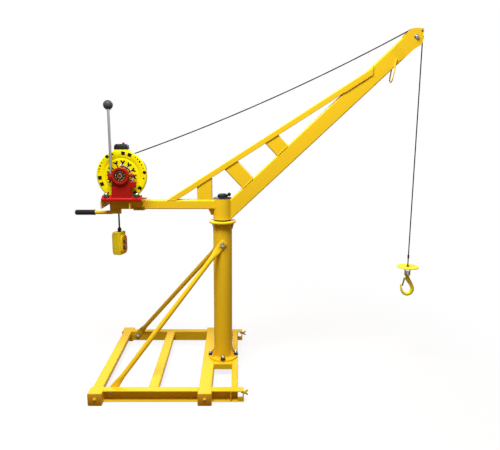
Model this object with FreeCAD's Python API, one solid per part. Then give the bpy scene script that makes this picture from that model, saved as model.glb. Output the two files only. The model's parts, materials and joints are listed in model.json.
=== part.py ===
"""Mini crane: welded base frame, column with a turning head, braced boom, winch, pendant and hook.

Millimetres and degrees, +Z up.  X runs along the boom and Y lies level across it.  The origin is on
the floor, under the middle of the beam that carries the left side of the column flange.
"""
import math
import os

import FreeCAD
import Part

# Clearances: round a turning pin, at the end of a turning piece, and a length past everything.
running_clearance = 0.05
end_clearance = 0.5
far = 3000

# Rolled corners of the square tubes, and of the channel and plate work.
tube_corner = 6
plate_corner = 3

# Base frame: two footed cross beams, two channel rails and two lighter cross beams.
beam_height = 65
beam_width = 64
foot_width = 70
beam_wall = 4
flat_depth = 30
drain_radius = 5
foot_overhang = 27
rail_reach = 393
rail_flange = 42
rail_height = 58
rail_wall = 5
left_beam_spacing = 539
left_beam_width = 52
middle_beam_spacing = 260
middle_beam_width = 50
right_beam_offset = 66
right_beam_width = 32

# Slotted rail ends, and the wing screws that pinch a bar in them.
socket_length = 30
socket_plate = 6
socket_floor = 25
screw_radius = 5
screw_drop = 18
screw_reach = 8
wing_hub_radius = 8
wing_hub_length = 10
wing_thickness = 4
wing_span = 22
wing_root = 6
wing_tip_width = 8

# Column: flange on the frame, its seats, pipe, ribs, collar and the pivot above it.
column_offset = 81
column_radius = 51
column_wall = 5
column_height = 763
flange_thickness = 10
flange_margin = 30
seat_length = 63
seat_start = 40
seat_height = 30
seat_wall = 5
rib_thickness = 6
rib_inset = 5
rib_tip = 3
rib_height = 36
rib_turn = 28
collar_thickness = 12
collar_margin = 21
collar_rib_height = 34
collar_rib_turns = (75, 160, 233, 355)
collar_round = 4
pivot_radius = 40
pivot_wall = 9
thrust_margin = 6
thrust_height = 7.5

# Braces: round pipes with flattened, bolted ends.
brace_radius = 13
tab_thickness = 6
tab_width = 38
tab_length = 60
brace_top_drop = 111
brace_foot_drop = 19
brace_foot_offset = 68
brace_top_setback = 22
brace_foot_setback = 16

# Turning head: sleeve on the pivot, cap, arm tube and the gusset under it.
sleeve_wall = 10
sleeve_height = 112
cap_plug_depth = 8
cap_plug_gap = 7
cap_inset = 4.5
cap_brim = 6
dome_radius = 26
dome_height = 20
dome_round = 14
cap_ball_radius = 8.5
cap_ball_offset = 36
cap_ball_rise = 17
cap_stem_radius = 4
arm_width = 60
arm_height = 48
arm_wall = 4
arm_drop = 7
arm_overhang = 81
gusset_depth = 35
gusset_reach = 77
gusset_slope = 16
gusset_thickness = 8

# Boom, top chord and posts; the stations of the posts count up the boom from the column's axis.
boom_slope = 43.35
boom_reach = 974
boom_depth = 80
boom_width = 50
boom_wall = 4
boom_heel = -2.5
chord_depth = 28
chord_wall = 5
chord_start = 282
chord_heel = 8
chord_meet = 291
chord_lap = 32
post_width = 80
lower_post_offset = 94
middle_post_station = 224.4
upper_post_station = 472.4

# Boom head: cheek plates, drawn along and above the boom line from the axle; axle, pulley and loop.
cheek_thickness = 8
cheek_lap = 95
cheek_inset = 1
cheek_nose = [(-46.3, 37.5), (-28, 43), (-7.3, 46.2), (11.9, 43), (23.8, 34), (53, 3.7),
              (4.1, -45.2), (-10, -47), (-37, -40.7)]
axle_radius = 8
axle_head_radius = 13
axle_head_height = 8
pulley_groove = 40
groove_depth = 4.5
groove_gap = 0.75
pulley_half = 10
pulley_flat = 2
pulley_hub_radius = 18
pulley_hub_gap = 1
pulley_gap = 6
loop_rod = 3.2
loop_station = 140
loop_below = 16
loop_length = 113.3
loop_lean = 8.6

# Winch platform and push handle.
platform_back = 109
platform_ahead = 44
platform_plate = 6
platform_skirt = 39
stub_wall = 4
stub_inset = 1
stub_reach = 52
under_plate = 6
handle_radius = 10
handle_offset = 20
handle_drop = 18
handle_seat_length = 57
handle_seat_depth = 24
handle_reach = 181
grip_wall = 4
grip_length = 107
grip_end = 8

# Winch: places along the shaft count out from the middle of the drum.
winch_offset = 517
shaft_radius = 18
shaft_recess = 5
drum_half = 36
drum_flange = 6
drum_core = 60
drum_flange_radius = 105
rope_turn_radius = 84
case_gap = 4
case_depth = 26
case_radius = 125
cover_depth = 16
cover_radius = 130
cover_gap = 1
base_gap = 2
base_depth = 34
base_half = 104
base_thickness = 13
base_rise = 17
base_overhang = 8
trunk_inset = 10
trunk_depth = 18
trunk_half_low = 52
trunk_half_high = 44
boss_gap = 8
boss_depth = 34
boss_radius = 44
recess_radius = 30
recess_depth = 12
motor_gap = 6
motor_length = 180
motor_radius = 82
saddle_half = 40
adjuster_reach = 78
adjuster_lap = 4
adjuster_drop = 60
adjuster_height = 30
lug_inset = 3
lug_height = 11

# Brake lever, its pin and the ear that holds it.
lever_pin_gap = 3
lever_pin_drop = 4
lever_pin_radius = 5
lever_pin_end = 2
ear_half = 15
ear_inset = 1
lever_slot_width = 14
lever_slot_margin = 2
lever_slot_drop = 55
lever_radius = 7
lever_eye_radius = 10
lever_eye_gap = 1
lever_length = 340
knob_radius = 24.5
knob_rise = 17

# Control box on the gear case, with its stop button.
pad_half = 40
box_length = 70
box_shift = 3
box_setback = 2
box_depth = 50
box_low_height = 16
box_high_height = 13
box_inset = 6
button_offset = 7
button_setback = 24
button_radius = 9
button_height = 9

# Rope, and the hook block on its end.
rope_radius = 2.75
rope_sag = 33
fall_length = 1132
ferrule_length = 19
ferrule_radius = 5
rope_tail_length = 46
disc_thickness = 4
disc_radius = 58
strap_half = 14.5
strap_wall = 3
strap_width = 14
rope_socket_radius = 6
rope_socket_length = 12
nut_radius = 8.5
nut_height = 20
nut_headroom = 10.5
swivel_radius = 6

# Hook: (x, z, radius) down from under the strap, round the bowl and up to the tip; then its latch.
hook_line = [(0, -3, 8.5), (0, -17, 8.5), (6, -32, 8), (18, -47, 8.5), (28, -62, 9.5), (32, -76, 10.5),
             (29, -91, 10.5), (19, -103.5, 10), (4, -108.5, 9.2), (-11, -104, 8), (-22, -93, 7),
             (-28.5, -78, 6), (-32, -63, 4.6), (-35, -49, 2.5)]
shoulder_radius = 9
shoulder_length = 11
latch_pin_offset = 14
latch_pin_drop = 19
latch_pin_radius = 2.5
latch_pin_half = 10
hook_lug_half = 4
hook_lug_radius = 6
latch_end_offset = 24
latch_end_drop = 61
latch_half = 8
latch_gap = 1
latch_thickness = 2.5
latch_eye_radius = 4.5
latch_ear_half = 2.5
latch_ear_length = 14
latch_ear_lap = 2

# Pendant: cable, gland and control body with a raised panel on the side that faces the boom.
pendant_offset = 42
cord_radius = 4
cord_length = 103
gland_length = 24
gland_radius = 7
gland_bulge = 11
pendant_length = 125
pendant_depth = 61
pendant_width = 62
pendant_chamfer = 6
pendant_turn = -20
panel_height = 13
panel_side_margin = 10
panel_low_margin = 12
panel_high_margin = 16

Vector = FreeCAD.Vector
os.makedirs("parts", exist_ok=True)


def save(name, shape):
    shape.exportStep("parts/" + name + ".step")


def block(x0, x1, y0, y1, z0, z1):
    return Part.makeBox(x1 - x0, y1 - y0, z1 - z0, Vector(x0, y0, z0))


def upright(x, y, z0, z1, radius):
    return Part.makeCylinder(radius, z1 - z0, Vector(x, y, z0), Vector(0, 0, 1))


def cross(x, z, y0, y1, radius):
    """Round bar along Y."""
    return Part.makeCylinder(radius, y1 - y0, Vector(x, y0, z), Vector(0, 1, 0))


def level(x0, x1, y, z, radius):
    """Round bar along X."""
    return Part.makeCylinder(radius, x1 - x0, Vector(x0, y, z), Vector(1, 0, 0))


def plate(outline, y0, y1):
    """Plate whose outline is drawn in the XZ plane."""
    corners = [Vector(x, y0, z) for x, z in outline]
    face = Part.Face(Part.makePolygon(corners + corners[:1]))
    return face.extrude(Vector(0, y1 - y0, 0))


def turned(outline, x, z):
    """Solid of revolution about the Y line through x, z; the outline is (radius, y) pairs."""
    corners = [Vector(x + radius, y, z) for radius, y in outline]
    face = Part.Face(Part.makePolygon(corners + corners[:1]))
    return face.revolve(Vector(x, 0, z), Vector(0, 1, 0), 360)


def swept(edges, radius):
    """Round rod along a smooth path."""
    path = Part.Wire(edges)
    start = edges[0].valueAt(edges[0].FirstParameter)
    heading = edges[0].tangentAt(edges[0].FirstParameter)
    ring = Part.Wire(Part.makeCircle(radius, start, heading))
    return path.makePipeShell([ring], True, False)


def mirrored(shape):
    return shape.mirror(Vector(0, 0, 0), Vector(0, 1, 0))


def rolled(shape, direction, radius):
    """Rounds the straight edges that run along a direction, as on rolled tube."""
    edges = [edge for edge in shape.Edges if abs(edge.tangentAt(edge.FirstParameter).dot(direction)) > 0.99]
    return shape.makeFillet(radius, edges)


# Base frame: two cross beams with wider foot ends, two channel rails and two lighter cross beams.  All but
# the beam under the column are flat tubes.
column_x = column_offset
left_beam_x = -left_beam_spacing
right_beam_x = column_x + right_beam_offset
frame_right = right_beam_x + right_beam_width / 2
frame_inside = rail_reach - rail_flange
rail_bottom = beam_height - rail_height
foot_reach = rail_reach + foot_overhang
foot_half = foot_width / 2
across = Vector(0, 1, 0)
lengthwise = Vector(1, 0, 0)


def footed_beam(x, width, depth):
    half = width / 2
    bottom = beam_height - depth
    shape = block(x - half, x + half, -frame_inside, frame_inside, bottom, beam_height)
    shape = rolled(shape, across, tube_corner)
    for y in (-foot_reach, frame_inside):
        foot = block(x - foot_half, x + foot_half, y, y + foot_reach - frame_inside, 0, beam_height)
        shape = shape.fuse(rolled(foot, across, tube_corner))
    hollow_half = half - beam_wall
    hollow_reach = foot_reach - beam_wall
    hollow = block(x - hollow_half, x + hollow_half, -hollow_reach, hollow_reach,
                   bottom + beam_wall, beam_height - beam_wall)
    shape = shape.cut(hollow)
    for y in (-frame_inside / 2, frame_inside / 2):
        shape = shape.cut(upright(x, y, -far, bottom + depth / 2, drain_radius))
    return shape.removeSplitter()


def light_beam(x, width):
    half = width / 2
    bottom = beam_height - flat_depth
    shape = block(x - half, x + half, -frame_inside, frame_inside, bottom, beam_height)
    shape = rolled(shape, across, tube_corner)
    hollow = block(x - half + beam_wall, x + half - beam_wall, -far, far,
                   bottom + beam_wall, beam_height - beam_wall)
    return shape.cut(hollow)


def rail(x0, x1):
    shape = block(x0, x1, -rail_reach, -frame_inside, rail_bottom, beam_height)
    shape = rolled(shape, lengthwise, plate_corner)
    mouth = block(x0, x1, -rail_reach, -frame_inside - rail_wall,
                  rail_bottom + rail_wall, beam_height - rail_wall)
    return shape.cut(mouth)


rail_long = rail(left_beam_x + foot_half, -foot_half)
save("beam_left", footed_beam(left_beam_x, left_beam_width, flat_depth))
save("beam_column", footed_beam(0, beam_width, beam_height))
save("beam_middle", light_beam(-middle_beam_spacing, middle_beam_width))
save("rail_front", rail_long)
save("rail_rear", mirrored(rail_long))

# Rail ends: a bar pushed along Y through the slot is pinched by a wing screw.  The sill under the bar
# is on the front side of both ends: in the rear one's web, and across the mouth of the front one.
socket_right = frame_right + socket_length
slot_right = socket_right - socket_plate
stiffener_right = frame_right - right_beam_width
screw_y = -(rail_reach + frame_inside) / 2
screw_z = beam_height - screw_drop
wing_right = socket_right + wing_hub_length

rail_end = rail(foot_half, socket_right)
for right in (stiffener_right, socket_right):
    rail_end = rail_end.fuse(block(right - socket_plate, right, -rail_reach, -frame_inside,
                                   rail_bottom + plate_corner, beam_height - plate_corner))
rail_end = rail_end.cut(block(frame_right, slot_right, -far, far, rail_bottom + socket_floor,
                              beam_height - socket_plate))
screw = level(slot_right - screw_reach, wing_right, screw_y, screw_z, screw_radius)
wing_outline = [(socket_right, screw_z - wing_root), (wing_right, screw_z - wing_root),
                (wing_right + wing_tip_width, screw_z - wing_span), (wing_right, screw_z - wing_span)]
wing = plate(wing_outline, screw_y - wing_thickness / 2, screw_y + wing_thickness / 2)
wing_screw = screw.fuse([level(socket_right, wing_right, screw_y, screw_z, wing_hub_radius), wing,
                         wing.mirror(Vector(0, 0, screw_z), Vector(0, 0, 1))])
rail_end = rail_end.cut(screw)
save("rail_end_rear", mirrored(rail_end))
web_sill = block(frame_right, slot_right, -frame_inside - rail_wall, -frame_inside, rail_bottom + rail_wall,
                 rail_bottom + socket_floor)
front_sill = web_sill.translated(Vector(0, frame_inside + rail_wall - rail_reach, 0))
save("rail_end_front", rail_end.cut(web_sill).fuse(front_sill))
save("wing_screw_front", wing_screw)
save("wing_screw_rear", mirrored(wing_screw))

# Column: flange with ribs on the frame, pipe, collar with ribs, and the pivot the head turns on.
column_bore = column_radius - column_wall
flange_top = beam_height + flange_thickness
flange_radius = column_radius + flange_margin
collar_bottom = flange_top + column_height
collar_top = collar_bottom + collar_thickness
collar_radius = column_radius + collar_margin
thrust_top = collar_top + thrust_height
sleeve_bottom = thrust_top + end_clearance
sleeve_top = sleeve_bottom + sleeve_height
pivot_top = sleeve_top - cap_plug_depth - cap_plug_gap

seat = block(beam_width / 2, right_beam_x - right_beam_width / 2, seat_start, seat_start + seat_length,
             beam_height - seat_height, beam_height)
seat = seat.cut(block(0, right_beam_x, seat_start + seat_wall, seat_start + seat_length - seat_wall,
                      0, beam_height - seat_wall))
save("beam_right", light_beam(right_beam_x, right_beam_width).fuse([seat, mirrored(seat)]))


def with_ribs(disc, reach, z_at_disc, z_away, turns):
    """Triangular ribs between a disc and the column, at the given turns about it."""
    outline = [(column_x + column_bore, z_at_disc), (column_x + reach, z_at_disc),
               (column_x + column_radius + rib_tip, z_away), (column_x + column_bore, z_away)]
    rib = plate(outline, -rib_thickness / 2, rib_thickness / 2)
    rib = rib.cut(upright(column_x, 0, 0, far, column_radius))
    ribs = []
    for turn in turns:
        copy = rib.copy()
        copy.rotate(Vector(column_x, 0, 0), Vector(0, 0, 1), turn)
        ribs.append(copy)
    return disc.fuse(ribs)


pipe = upright(column_x, 0, flange_top, collar_bottom, column_radius)
pipe = pipe.cut(upright(column_x, 0, 0, far, column_bore))
flange = upright(column_x, 0, beam_height, flange_top, flange_radius)
flange = with_ribs(flange, flange_radius - rib_inset, flange_top, flange_top + rib_height,
                   (rib_turn, 180 - rib_turn, 180 + rib_turn, 360 - rib_turn))
save("column", pipe.fuse(flange))
collar = upright(column_x, 0, collar_bottom, collar_top, collar_radius)
collar = collar.makeFillet(collar_round, [edge for edge in collar.Edges if edge.Closed])
collar = with_ribs(collar, collar_radius - collar_round - rib_inset, collar_bottom,
                   collar_bottom - collar_rib_height, collar_rib_turns)
pivot = upright(column_x, 0, collar_top, pivot_top, pivot_radius)
pivot = pivot.fuse(upright(column_x, 0, collar_top, thrust_top, pivot_radius + thrust_margin))
pivot = pivot.cut(upright(column_x, 0, collar_top, far, pivot_radius - pivot_wall))
save("column_pivot", collar.fuse(pivot))

# Braces: round pipes with flattened, bolted ends, from the column to the inside of each rail.
top_back = -column_radius
top_front = top_back - tab_thickness
foot_front = -frame_inside
foot_back = foot_front + tab_thickness
brace_top = Vector(column_x, top_front, collar_bottom - brace_top_drop)
brace_foot = Vector(left_beam_x + brace_foot_offset, foot_back, beam_height - brace_foot_drop)


def tab(point, towards, y0, y1):
    """Flat bolted end lying in an XZ plane, starting round the bolt and running towards a point."""
    run = math.hypot(towards.x - point.x, towards.z - point.z)
    ux = (towards.x - point.x) / run
    uz = (towards.z - point.z) / run
    half = tab_width / 2
    outline = [(point.x - uz * half, point.z + ux * half), (point.x + uz * half, point.z - ux * half),
               (point.x + ux * tab_length + uz * half, point.z + uz * tab_length - ux * half),
               (point.x + ux * tab_length - uz * half, point.z + uz * tab_length + ux * half)]
    return plate(outline, y0, y1).fuse(cross(point.x, point.z, y0, y1, half))


along = brace_foot - brace_top
along.normalize()
tube_start = brace_top + along * brace_top_setback
tube_end = brace_foot - along * brace_foot_setback
tube = Part.makeCylinder(brace_radius, tube_start.distanceToPoint(tube_end), tube_start, along)
tube = tube.common(block(-far, far, foot_back, top_front, -far, far))
brace = tube.fuse([tab(brace_top, brace_foot, top_front, top_back),
                   tab(brace_foot, brace_top, foot_front, foot_back)])
brace = brace.common(block(-far, far, -far, far, rail_bottom, far))
save("brace_front", brace)
save("brace_rear", mirrored(brace))

# Turning head: sleeve on the pivot, black cap, and the tube arm that carries the winch.
sleeve_bore = pivot_radius + running_clearance
sleeve_radius = sleeve_bore + sleeve_wall
brim_top = sleeve_top + cap_brim
dome_top = brim_top + dome_height
ball_x = column_x + cap_ball_offset
ball_z = brim_top + cap_ball_rise
winch_x = column_x - winch_offset
arm_half = arm_width / 2
arm_end_x = winch_x - arm_overhang
arm_top = sleeve_top - arm_drop
arm_bottom = arm_top - arm_height
gusset_bottom = arm_bottom - gusset_depth
gusset_left = column_x - gusset_reach

cap = upright(column_x, 0, sleeve_top - cap_plug_depth, sleeve_top, sleeve_bore)
cap = cap.fuse(upright(column_x, 0, sleeve_top, brim_top, sleeve_radius - cap_inset))
dome = upright(column_x, 0, brim_top, dome_top, dome_radius)
dome = dome.makeFillet(dome_round, [edge for edge in dome.Edges
                                    if edge.BoundBox.ZMin > (brim_top + dome_top) / 2])
ball = Part.makeSphere(cap_ball_radius, Vector(ball_x, 0, ball_z))
stem = upright(ball_x, 0, brim_top, ball_z, cap_stem_radius)
save("sleeve_cap", cap.fuse([dome, stem, ball]))

head_bore = upright(column_x, 0, -far, far, sleeve_radius)
arm = rolled(block(arm_end_x, column_x, -arm_half, arm_half, arm_bottom, arm_top), lengthwise, tube_corner)
arm = arm.cut(block(-far, far, arm_wall - arm_half, arm_half - arm_wall,
                    arm_bottom + arm_wall, arm_top - arm_wall))
arm = arm.cut(head_bore)
gusset = plate([(gusset_left, arm_bottom), (column_x, arm_bottom), (column_x, gusset_bottom),
                (gusset_left + gusset_slope, gusset_bottom)], -gusset_thickness / 2, gusset_thickness / 2)
sleeve = upright(column_x, 0, sleeve_bottom, sleeve_top, sleeve_radius)
sleeve = sleeve.cut(upright(column_x, 0, 0, far, sleeve_bore))
save("sleeve", sleeve.fuse(gusset.cut(head_bore)))

# Boom, top chord and posts: the boom rises from the sleeve's lower edge to the pulley axle.
boom_angle = math.radians(boom_slope)
boom_half = boom_width / 2
boom_top = boom_depth / 2
heel_x = math.sqrt(sleeve_radius ** 2 - boom_half ** 2)
root_z = sleeve_bottom + boom_heel + boom_top / math.cos(boom_angle) - heel_x * math.tan(boom_angle)
axle_x = column_x + boom_reach
axle_z = root_z + boom_reach * math.tan(boom_angle)
boom_length = boom_reach / math.cos(boom_angle)
pulley_rim = pulley_groove + groove_depth
boom_end = -pulley_rim - pulley_gap
chord_half = boom_half + chord_wall
chord_x = column_x - chord_start
chord_z = arm_top + chord_heel
lower_post_x = column_x - lower_post_offset
post_half = post_width / 2


def on_boom(along_boom, above):
    """Point on the boom: distance from the axle along it, and height above its centre line."""
    x = axle_x + along_boom * math.cos(boom_angle) - above * math.sin(boom_angle)
    z = axle_z + along_boom * math.sin(boom_angle) + above * math.cos(boom_angle)
    return x, z


meet_x, meet_z = on_boom(-chord_meet, boom_top)
chord_angle = math.atan2(meet_z - chord_z, meet_x - chord_x)


def on_chord(along_chord, above):
    x = chord_x + along_chord * math.cos(chord_angle) - above * math.sin(chord_angle)
    z = chord_z + along_chord * math.sin(chord_angle) + above * math.cos(chord_angle)
    return x, z


def bar(place, start, end, low, high, half):
    return plate([place(start, low), place(end, low), place(end, high), place(start, high)], -half, half)


boom_solid = bar(on_boom, -far, boom_end, -boom_top, boom_top, boom_half)
boom_solid = rolled(boom_solid, Vector(math.cos(boom_angle), 0, math.sin(boom_angle)), tube_corner)
boom_solid = boom_solid.common(block(column_x, far, -far, far, -far, far)).cut(head_bore)
boom_inside = bar(on_boom, -far, far, boom_wall - boom_top, boom_top - boom_wall, boom_half - boom_wall)
save("boom", boom_solid.cut(boom_inside))

chord = bar(on_chord, -far, far, -chord_depth, 0, chord_half)
chord = rolled(chord, Vector(math.cos(chord_angle), 0, math.sin(chord_angle)), plate_corner)
chord = chord.cut(bar(on_chord, -2 * far, 2 * far, -2 * chord_depth, -chord_wall, boom_half))
chord = chord.common(block(-far, meet_x + chord_lap, -far, far, arm_top, far))
save("top_chord", chord.cut(boom_solid))

over_chord = bar(on_chord, -2 * far, 2 * far, -chord_wall, 2 * far, far)
post = block(lower_post_x - post_half, lower_post_x + post_half, -boom_half, boom_half, arm_top, far)
hollow = block(lower_post_x - post_half + boom_wall, lower_post_x + post_half - boom_wall,
               boom_wall - boom_half, boom_half - boom_wall, -far, far)
save("post_lower", rolled(post, Vector(0, 0, 1), tube_corner).cut(hollow).cut(over_chord))
off_boom = Vector(-math.sin(boom_angle), 0, math.cos(boom_angle))
for name, from_root in (("post_middle", middle_post_station), ("post_upper", upper_post_station)):
    station = from_root - boom_length
    post = bar(on_boom, station - post_half, station + post_half, boom_top, far, boom_half)
    hollow = bar(on_boom, station - post_half + boom_wall, station + post_half - boom_wall,
                 0, 2 * far, boom_half - boom_wall)
    save(name, rolled(post, off_boom, tube_corner).cut(hollow).cut(over_chord))

# Boom head: two cheek plates, grooved pulley on its axle, and the loop for a second fall.
cheek_face = boom_half + cheek_thickness
cheek_edge = boom_top - cheek_inset
axle_end = cheek_face + axle_head_height
groove_half = rope_radius + groove_gap
hub_half = boom_half - pulley_hub_gap
rim_flat = pulley_half - pulley_flat

cheek_corners = [(-cheek_lap, cheek_edge), *cheek_nose, (boom_end, -cheek_edge), (-cheek_lap, -cheek_edge)]
cheek = plate([on_boom(along_boom, above) for along_boom, above in cheek_corners], -cheek_face, -boom_half)
cheek = cheek.cut(cross(axle_x, axle_z, -far, far, axle_radius))
save("head_cheek_front", cheek)
save("head_cheek_rear", mirrored(cheek))
axle = cross(axle_x, axle_z, -axle_end, axle_end, axle_radius)
for y in (-axle_end, cheek_face):
    axle = axle.fuse(cross(axle_x, axle_z, y, y + axle_head_height, axle_head_radius))
save("pulley_axle", axle)
save("pulley", turned([(axle_radius, -hub_half), (pulley_hub_radius, -hub_half),
                       (pulley_hub_radius, -pulley_half), (pulley_rim, -pulley_half),
                       (pulley_rim, -rim_flat), (pulley_groove, -groove_half),
                       (pulley_groove, groove_half), (pulley_rim, rim_flat), (pulley_rim, pulley_half),
                       (pulley_hub_radius, pulley_half), (pulley_hub_radius, hub_half),
                       (axle_radius, hub_half)], axle_x, axle_z))

loop_x, loop_z = on_boom(-loop_station, -loop_below)
loop_half = boom_half + loop_rod
lean = math.radians(loop_lean)
loop_down = Vector(-math.sin(lean), 0, -math.cos(lean))
leg = loop_down * (loop_length - loop_half)
near_top = Vector(loop_x, -loop_half, loop_z)
far_top = Vector(loop_x, loop_half, loop_z)
loop_low = Vector(loop_x, 0, loop_z) + loop_down * loop_length
bend = Part.Arc(near_top + leg, loop_low, far_top + leg).toShape()
save("dead_end_loop", swept([Part.makeLine(near_top, near_top + leg), bend,
                             Part.makeLine(far_top + leg, far_top)], loop_rod))

# Winch platform: an inverted channel across the arm, with a stub each side of the arm beside it
# and a plate over the front stub for the bracket's foot.
case_back = -drum_half - case_gap
cover_back = case_back - case_depth
cover_front = cover_back - cover_depth
base_back = cover_front - base_gap
base_front = base_back - base_depth
platform_left = winch_x - platform_back
platform_right = winch_x + platform_ahead
platform_reach = -base_front - base_overhang
platform_top = arm_top + platform_plate
platform_bottom = platform_top - platform_skirt
stub_right = winch_x + base_half - stub_inset

platform = block(platform_left, platform_right, -platform_reach, platform_reach,
                 platform_bottom, platform_top)
platform = rolled(platform, across, plate_corner)
platform = platform.cut(block(platform_left + platform_plate, platform_right - platform_plate,
                              -far, far, 0, arm_top))
platform = platform.cut(block(platform_left + platform_plate, far, -arm_half, arm_half, 0, arm_top))
stub = block(platform_right, stub_right, -stub_reach, -arm_half, platform_bottom, platform_top)
stub = stub.cut(block(platform_right + stub_wall, stub_right - stub_wall, stub_wall - stub_reach, -arm_half,
                      0, platform_top - stub_wall))
foot_seat = block(platform_right, stub_right, -platform_reach, -arm_half, arm_top, platform_top)
save("winch_platform", platform.fuse([stub, mirrored(stub), foot_seat]))
save("rear_arm", arm.fuse(block(platform_right, stub_right, -arm_half, arm_half,
                                arm_bottom - under_plate, arm_bottom)))

# Push handle: a rod in a block under the arm, with a rubber grip.
handle_y = -handle_offset
handle_z = arm_bottom - handle_drop
handle_left = arm_end_x - handle_reach
grip_left = handle_left - grip_end

handle = level(handle_left, arm_end_x + handle_radius, handle_y, handle_z, handle_radius)
handle_seat = block(arm_end_x, arm_end_x + handle_seat_length, handle_y - handle_radius,
                    handle_y + handle_radius, arm_bottom - handle_seat_depth, arm_bottom)
grip = level(grip_left, grip_left + grip_length, handle_y, handle_z, handle_radius + grip_wall)
save("push_handle", handle.fuse(handle_seat))
save("handle_grip", grip.cut(handle))

# Winch: the front bracket carries the shaft, gear case and cover; drum on the boom line, motor behind.
winch_z = platform_top + cover_gap + cover_radius
base_top = platform_top + base_thickness
trunk_back = base_back - trunk_inset
trunk_front = trunk_back - trunk_depth
boss_back = cover_front - boss_gap
boss_front = boss_back - boss_depth
motor_front = drum_half + motor_gap
adjuster_left = winch_x + trunk_half_high - adjuster_lap
adjuster_right = winch_x + adjuster_reach
adjuster_bottom = winch_z - adjuster_drop
lever_pin_x = winch_x - boss_radius - lever_pin_gap
lever_pin_z = winch_z - lever_pin_drop
lever_y = (boss_front + boss_back) / 2
slot_half = lever_slot_width / 2

foot_outline = [(base_front, platform_top), (base_back, platform_top), (base_back, base_top + base_rise),
                (base_front, base_top)]
foot_corners = [Vector(winch_x - base_half, y, z) for y, z in foot_outline]
foot_face = Part.Face(Part.makePolygon(foot_corners + foot_corners[:1]))
base_plate = foot_face.extrude(lengthwise * (2 * base_half))
motor = cross(winch_x, winch_z, motor_front, motor_front + motor_length, motor_radius)
saddle = block(winch_x - saddle_half, winch_x + saddle_half, -base_back, -trunk_front, platform_top,
               winch_z)
save("bracket_rear", saddle.cut(motor))
save("motor", motor)

shaft = cross(winch_x, winch_z, boss_front + shaft_recess, motor_front, shaft_radius)
trunk = plate([(winch_x - trunk_half_low, base_top), (winch_x + trunk_half_low, base_top),
               (winch_x + trunk_half_high, winch_z), (winch_x - trunk_half_high, winch_z)],
              trunk_front, trunk_back)
boss = cross(winch_x, winch_z, boss_front, boss_back, boss_radius)
ear = block(lever_pin_x - ear_half, winch_x, boss_front + ear_inset, boss_back - ear_inset,
            lever_pin_z - ear_half, lever_pin_z + ear_half)
adjuster = block(adjuster_left, adjuster_right, trunk_front, trunk_back,
                 adjuster_bottom, adjuster_bottom + adjuster_height)
lug = block(winch_x, adjuster_right - lug_inset, trunk_front, trunk_back,
            lever_pin_z, lever_pin_z + lug_height)
lever_slot = block(-far, lever_pin_x + ear_half - lever_slot_margin, lever_y - slot_half,
                   lever_y + slot_half, lever_pin_z - lever_slot_drop, far)
lever_pin = cross(lever_pin_x, lever_pin_z, boss_front - lever_pin_end, boss_back + lever_pin_end,
                  lever_pin_radius)
recess = cross(winch_x, winch_z, -far, boss_front + recess_depth, recess_radius)
bracket = base_plate.fuse([trunk, boss, ear, adjuster, lug])
bracket = bracket.cut(lever_slot).cut(recess).cut(shaft)
save("bracket_front", bracket.fuse(lever_pin))

save("winch_shaft", shaft)
save("winch_cover", cross(winch_x, winch_z, cover_front, cover_back, cover_radius).cut(shaft))
case_pad = block(winch_x - pad_half, winch_x + pad_half, cover_back, case_back, winch_z,
                 winch_z + cover_radius)
gear_case = cross(winch_x, winch_z, cover_back, case_back, case_radius)
save("gear_case", gear_case.fuse(case_pad).cut(shaft))
coil_half = drum_half - drum_flange
drum_space = cross(winch_x, winch_z, -coil_half, coil_half, far)
drum_space = drum_space.cut(cross(winch_x, winch_z, -far, far, drum_core))
drum = cross(winch_x, winch_z, -drum_half, drum_half, drum_flange_radius)
save("drum", drum.cut(drum_space).cut(shaft))
save("rope_coil", drum_space.common(cross(winch_x, winch_z, -far, far, rope_turn_radius - rope_radius)))

# Control box with its stop button, on top of the gear case.
box_left = winch_x - box_length / 2 - box_shift
box_right = box_left + box_length
box_front = cover_back + box_setback
box_back = box_front + box_depth
box_bottom = winch_z + cover_radius
box_step = box_bottom + box_low_height
box_top = box_step + box_high_height

box = block(box_left, box_right, box_front, box_back, box_bottom, box_step)
box = box.fuse(block(box_left + box_inset, box_right - box_inset, box_front + box_inset,
                     box_back - box_inset, box_step, box_top))
save("control_box", box)
save("stop_button", upright(winch_x + button_offset, box_front + button_setback, box_top,
                            box_top + button_height, button_radius))

# Brake lever on its pin in the bracket's ear.
lever_front = lever_y - slot_half + lever_eye_gap
lever_back = lever_y + slot_half - lever_eye_gap
lever_top = lever_pin_z + lever_length

lever = cross(lever_pin_x, lever_pin_z, lever_front, lever_back, lever_eye_radius)
lever_rod = upright(lever_pin_x, lever_y, lever_pin_z, lever_top, lever_radius)
lever_rod = lever_rod.common(block(-far, far, lever_front, lever_back, -far, far))
lever_hole = cross(lever_pin_x, lever_pin_z, -far, far, lever_pin_radius + running_clearance)
lever = lever.fuse(lever_rod).cut(lever_hole)
save("brake_lever", lever)
knob = Part.makeSphere(knob_radius, Vector(lever_pin_x, lever_y, lever_top + knob_rise))
save("lever_knob", knob.cut(lever))

# Rope: off the top of the drum, slightly slack to the pulley, over it and straight down.
pulley_rope = pulley_groove + rope_radius
fall_x = axle_x + pulley_rope
ferrule_top = axle_z - fall_length


def on_circle(x, z, radius, turn):
    """Point where a rope rising at the given angle lies on top of a circle."""
    return Vector(x - radius * math.sin(turn), 0, z + radius * math.cos(turn))


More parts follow.
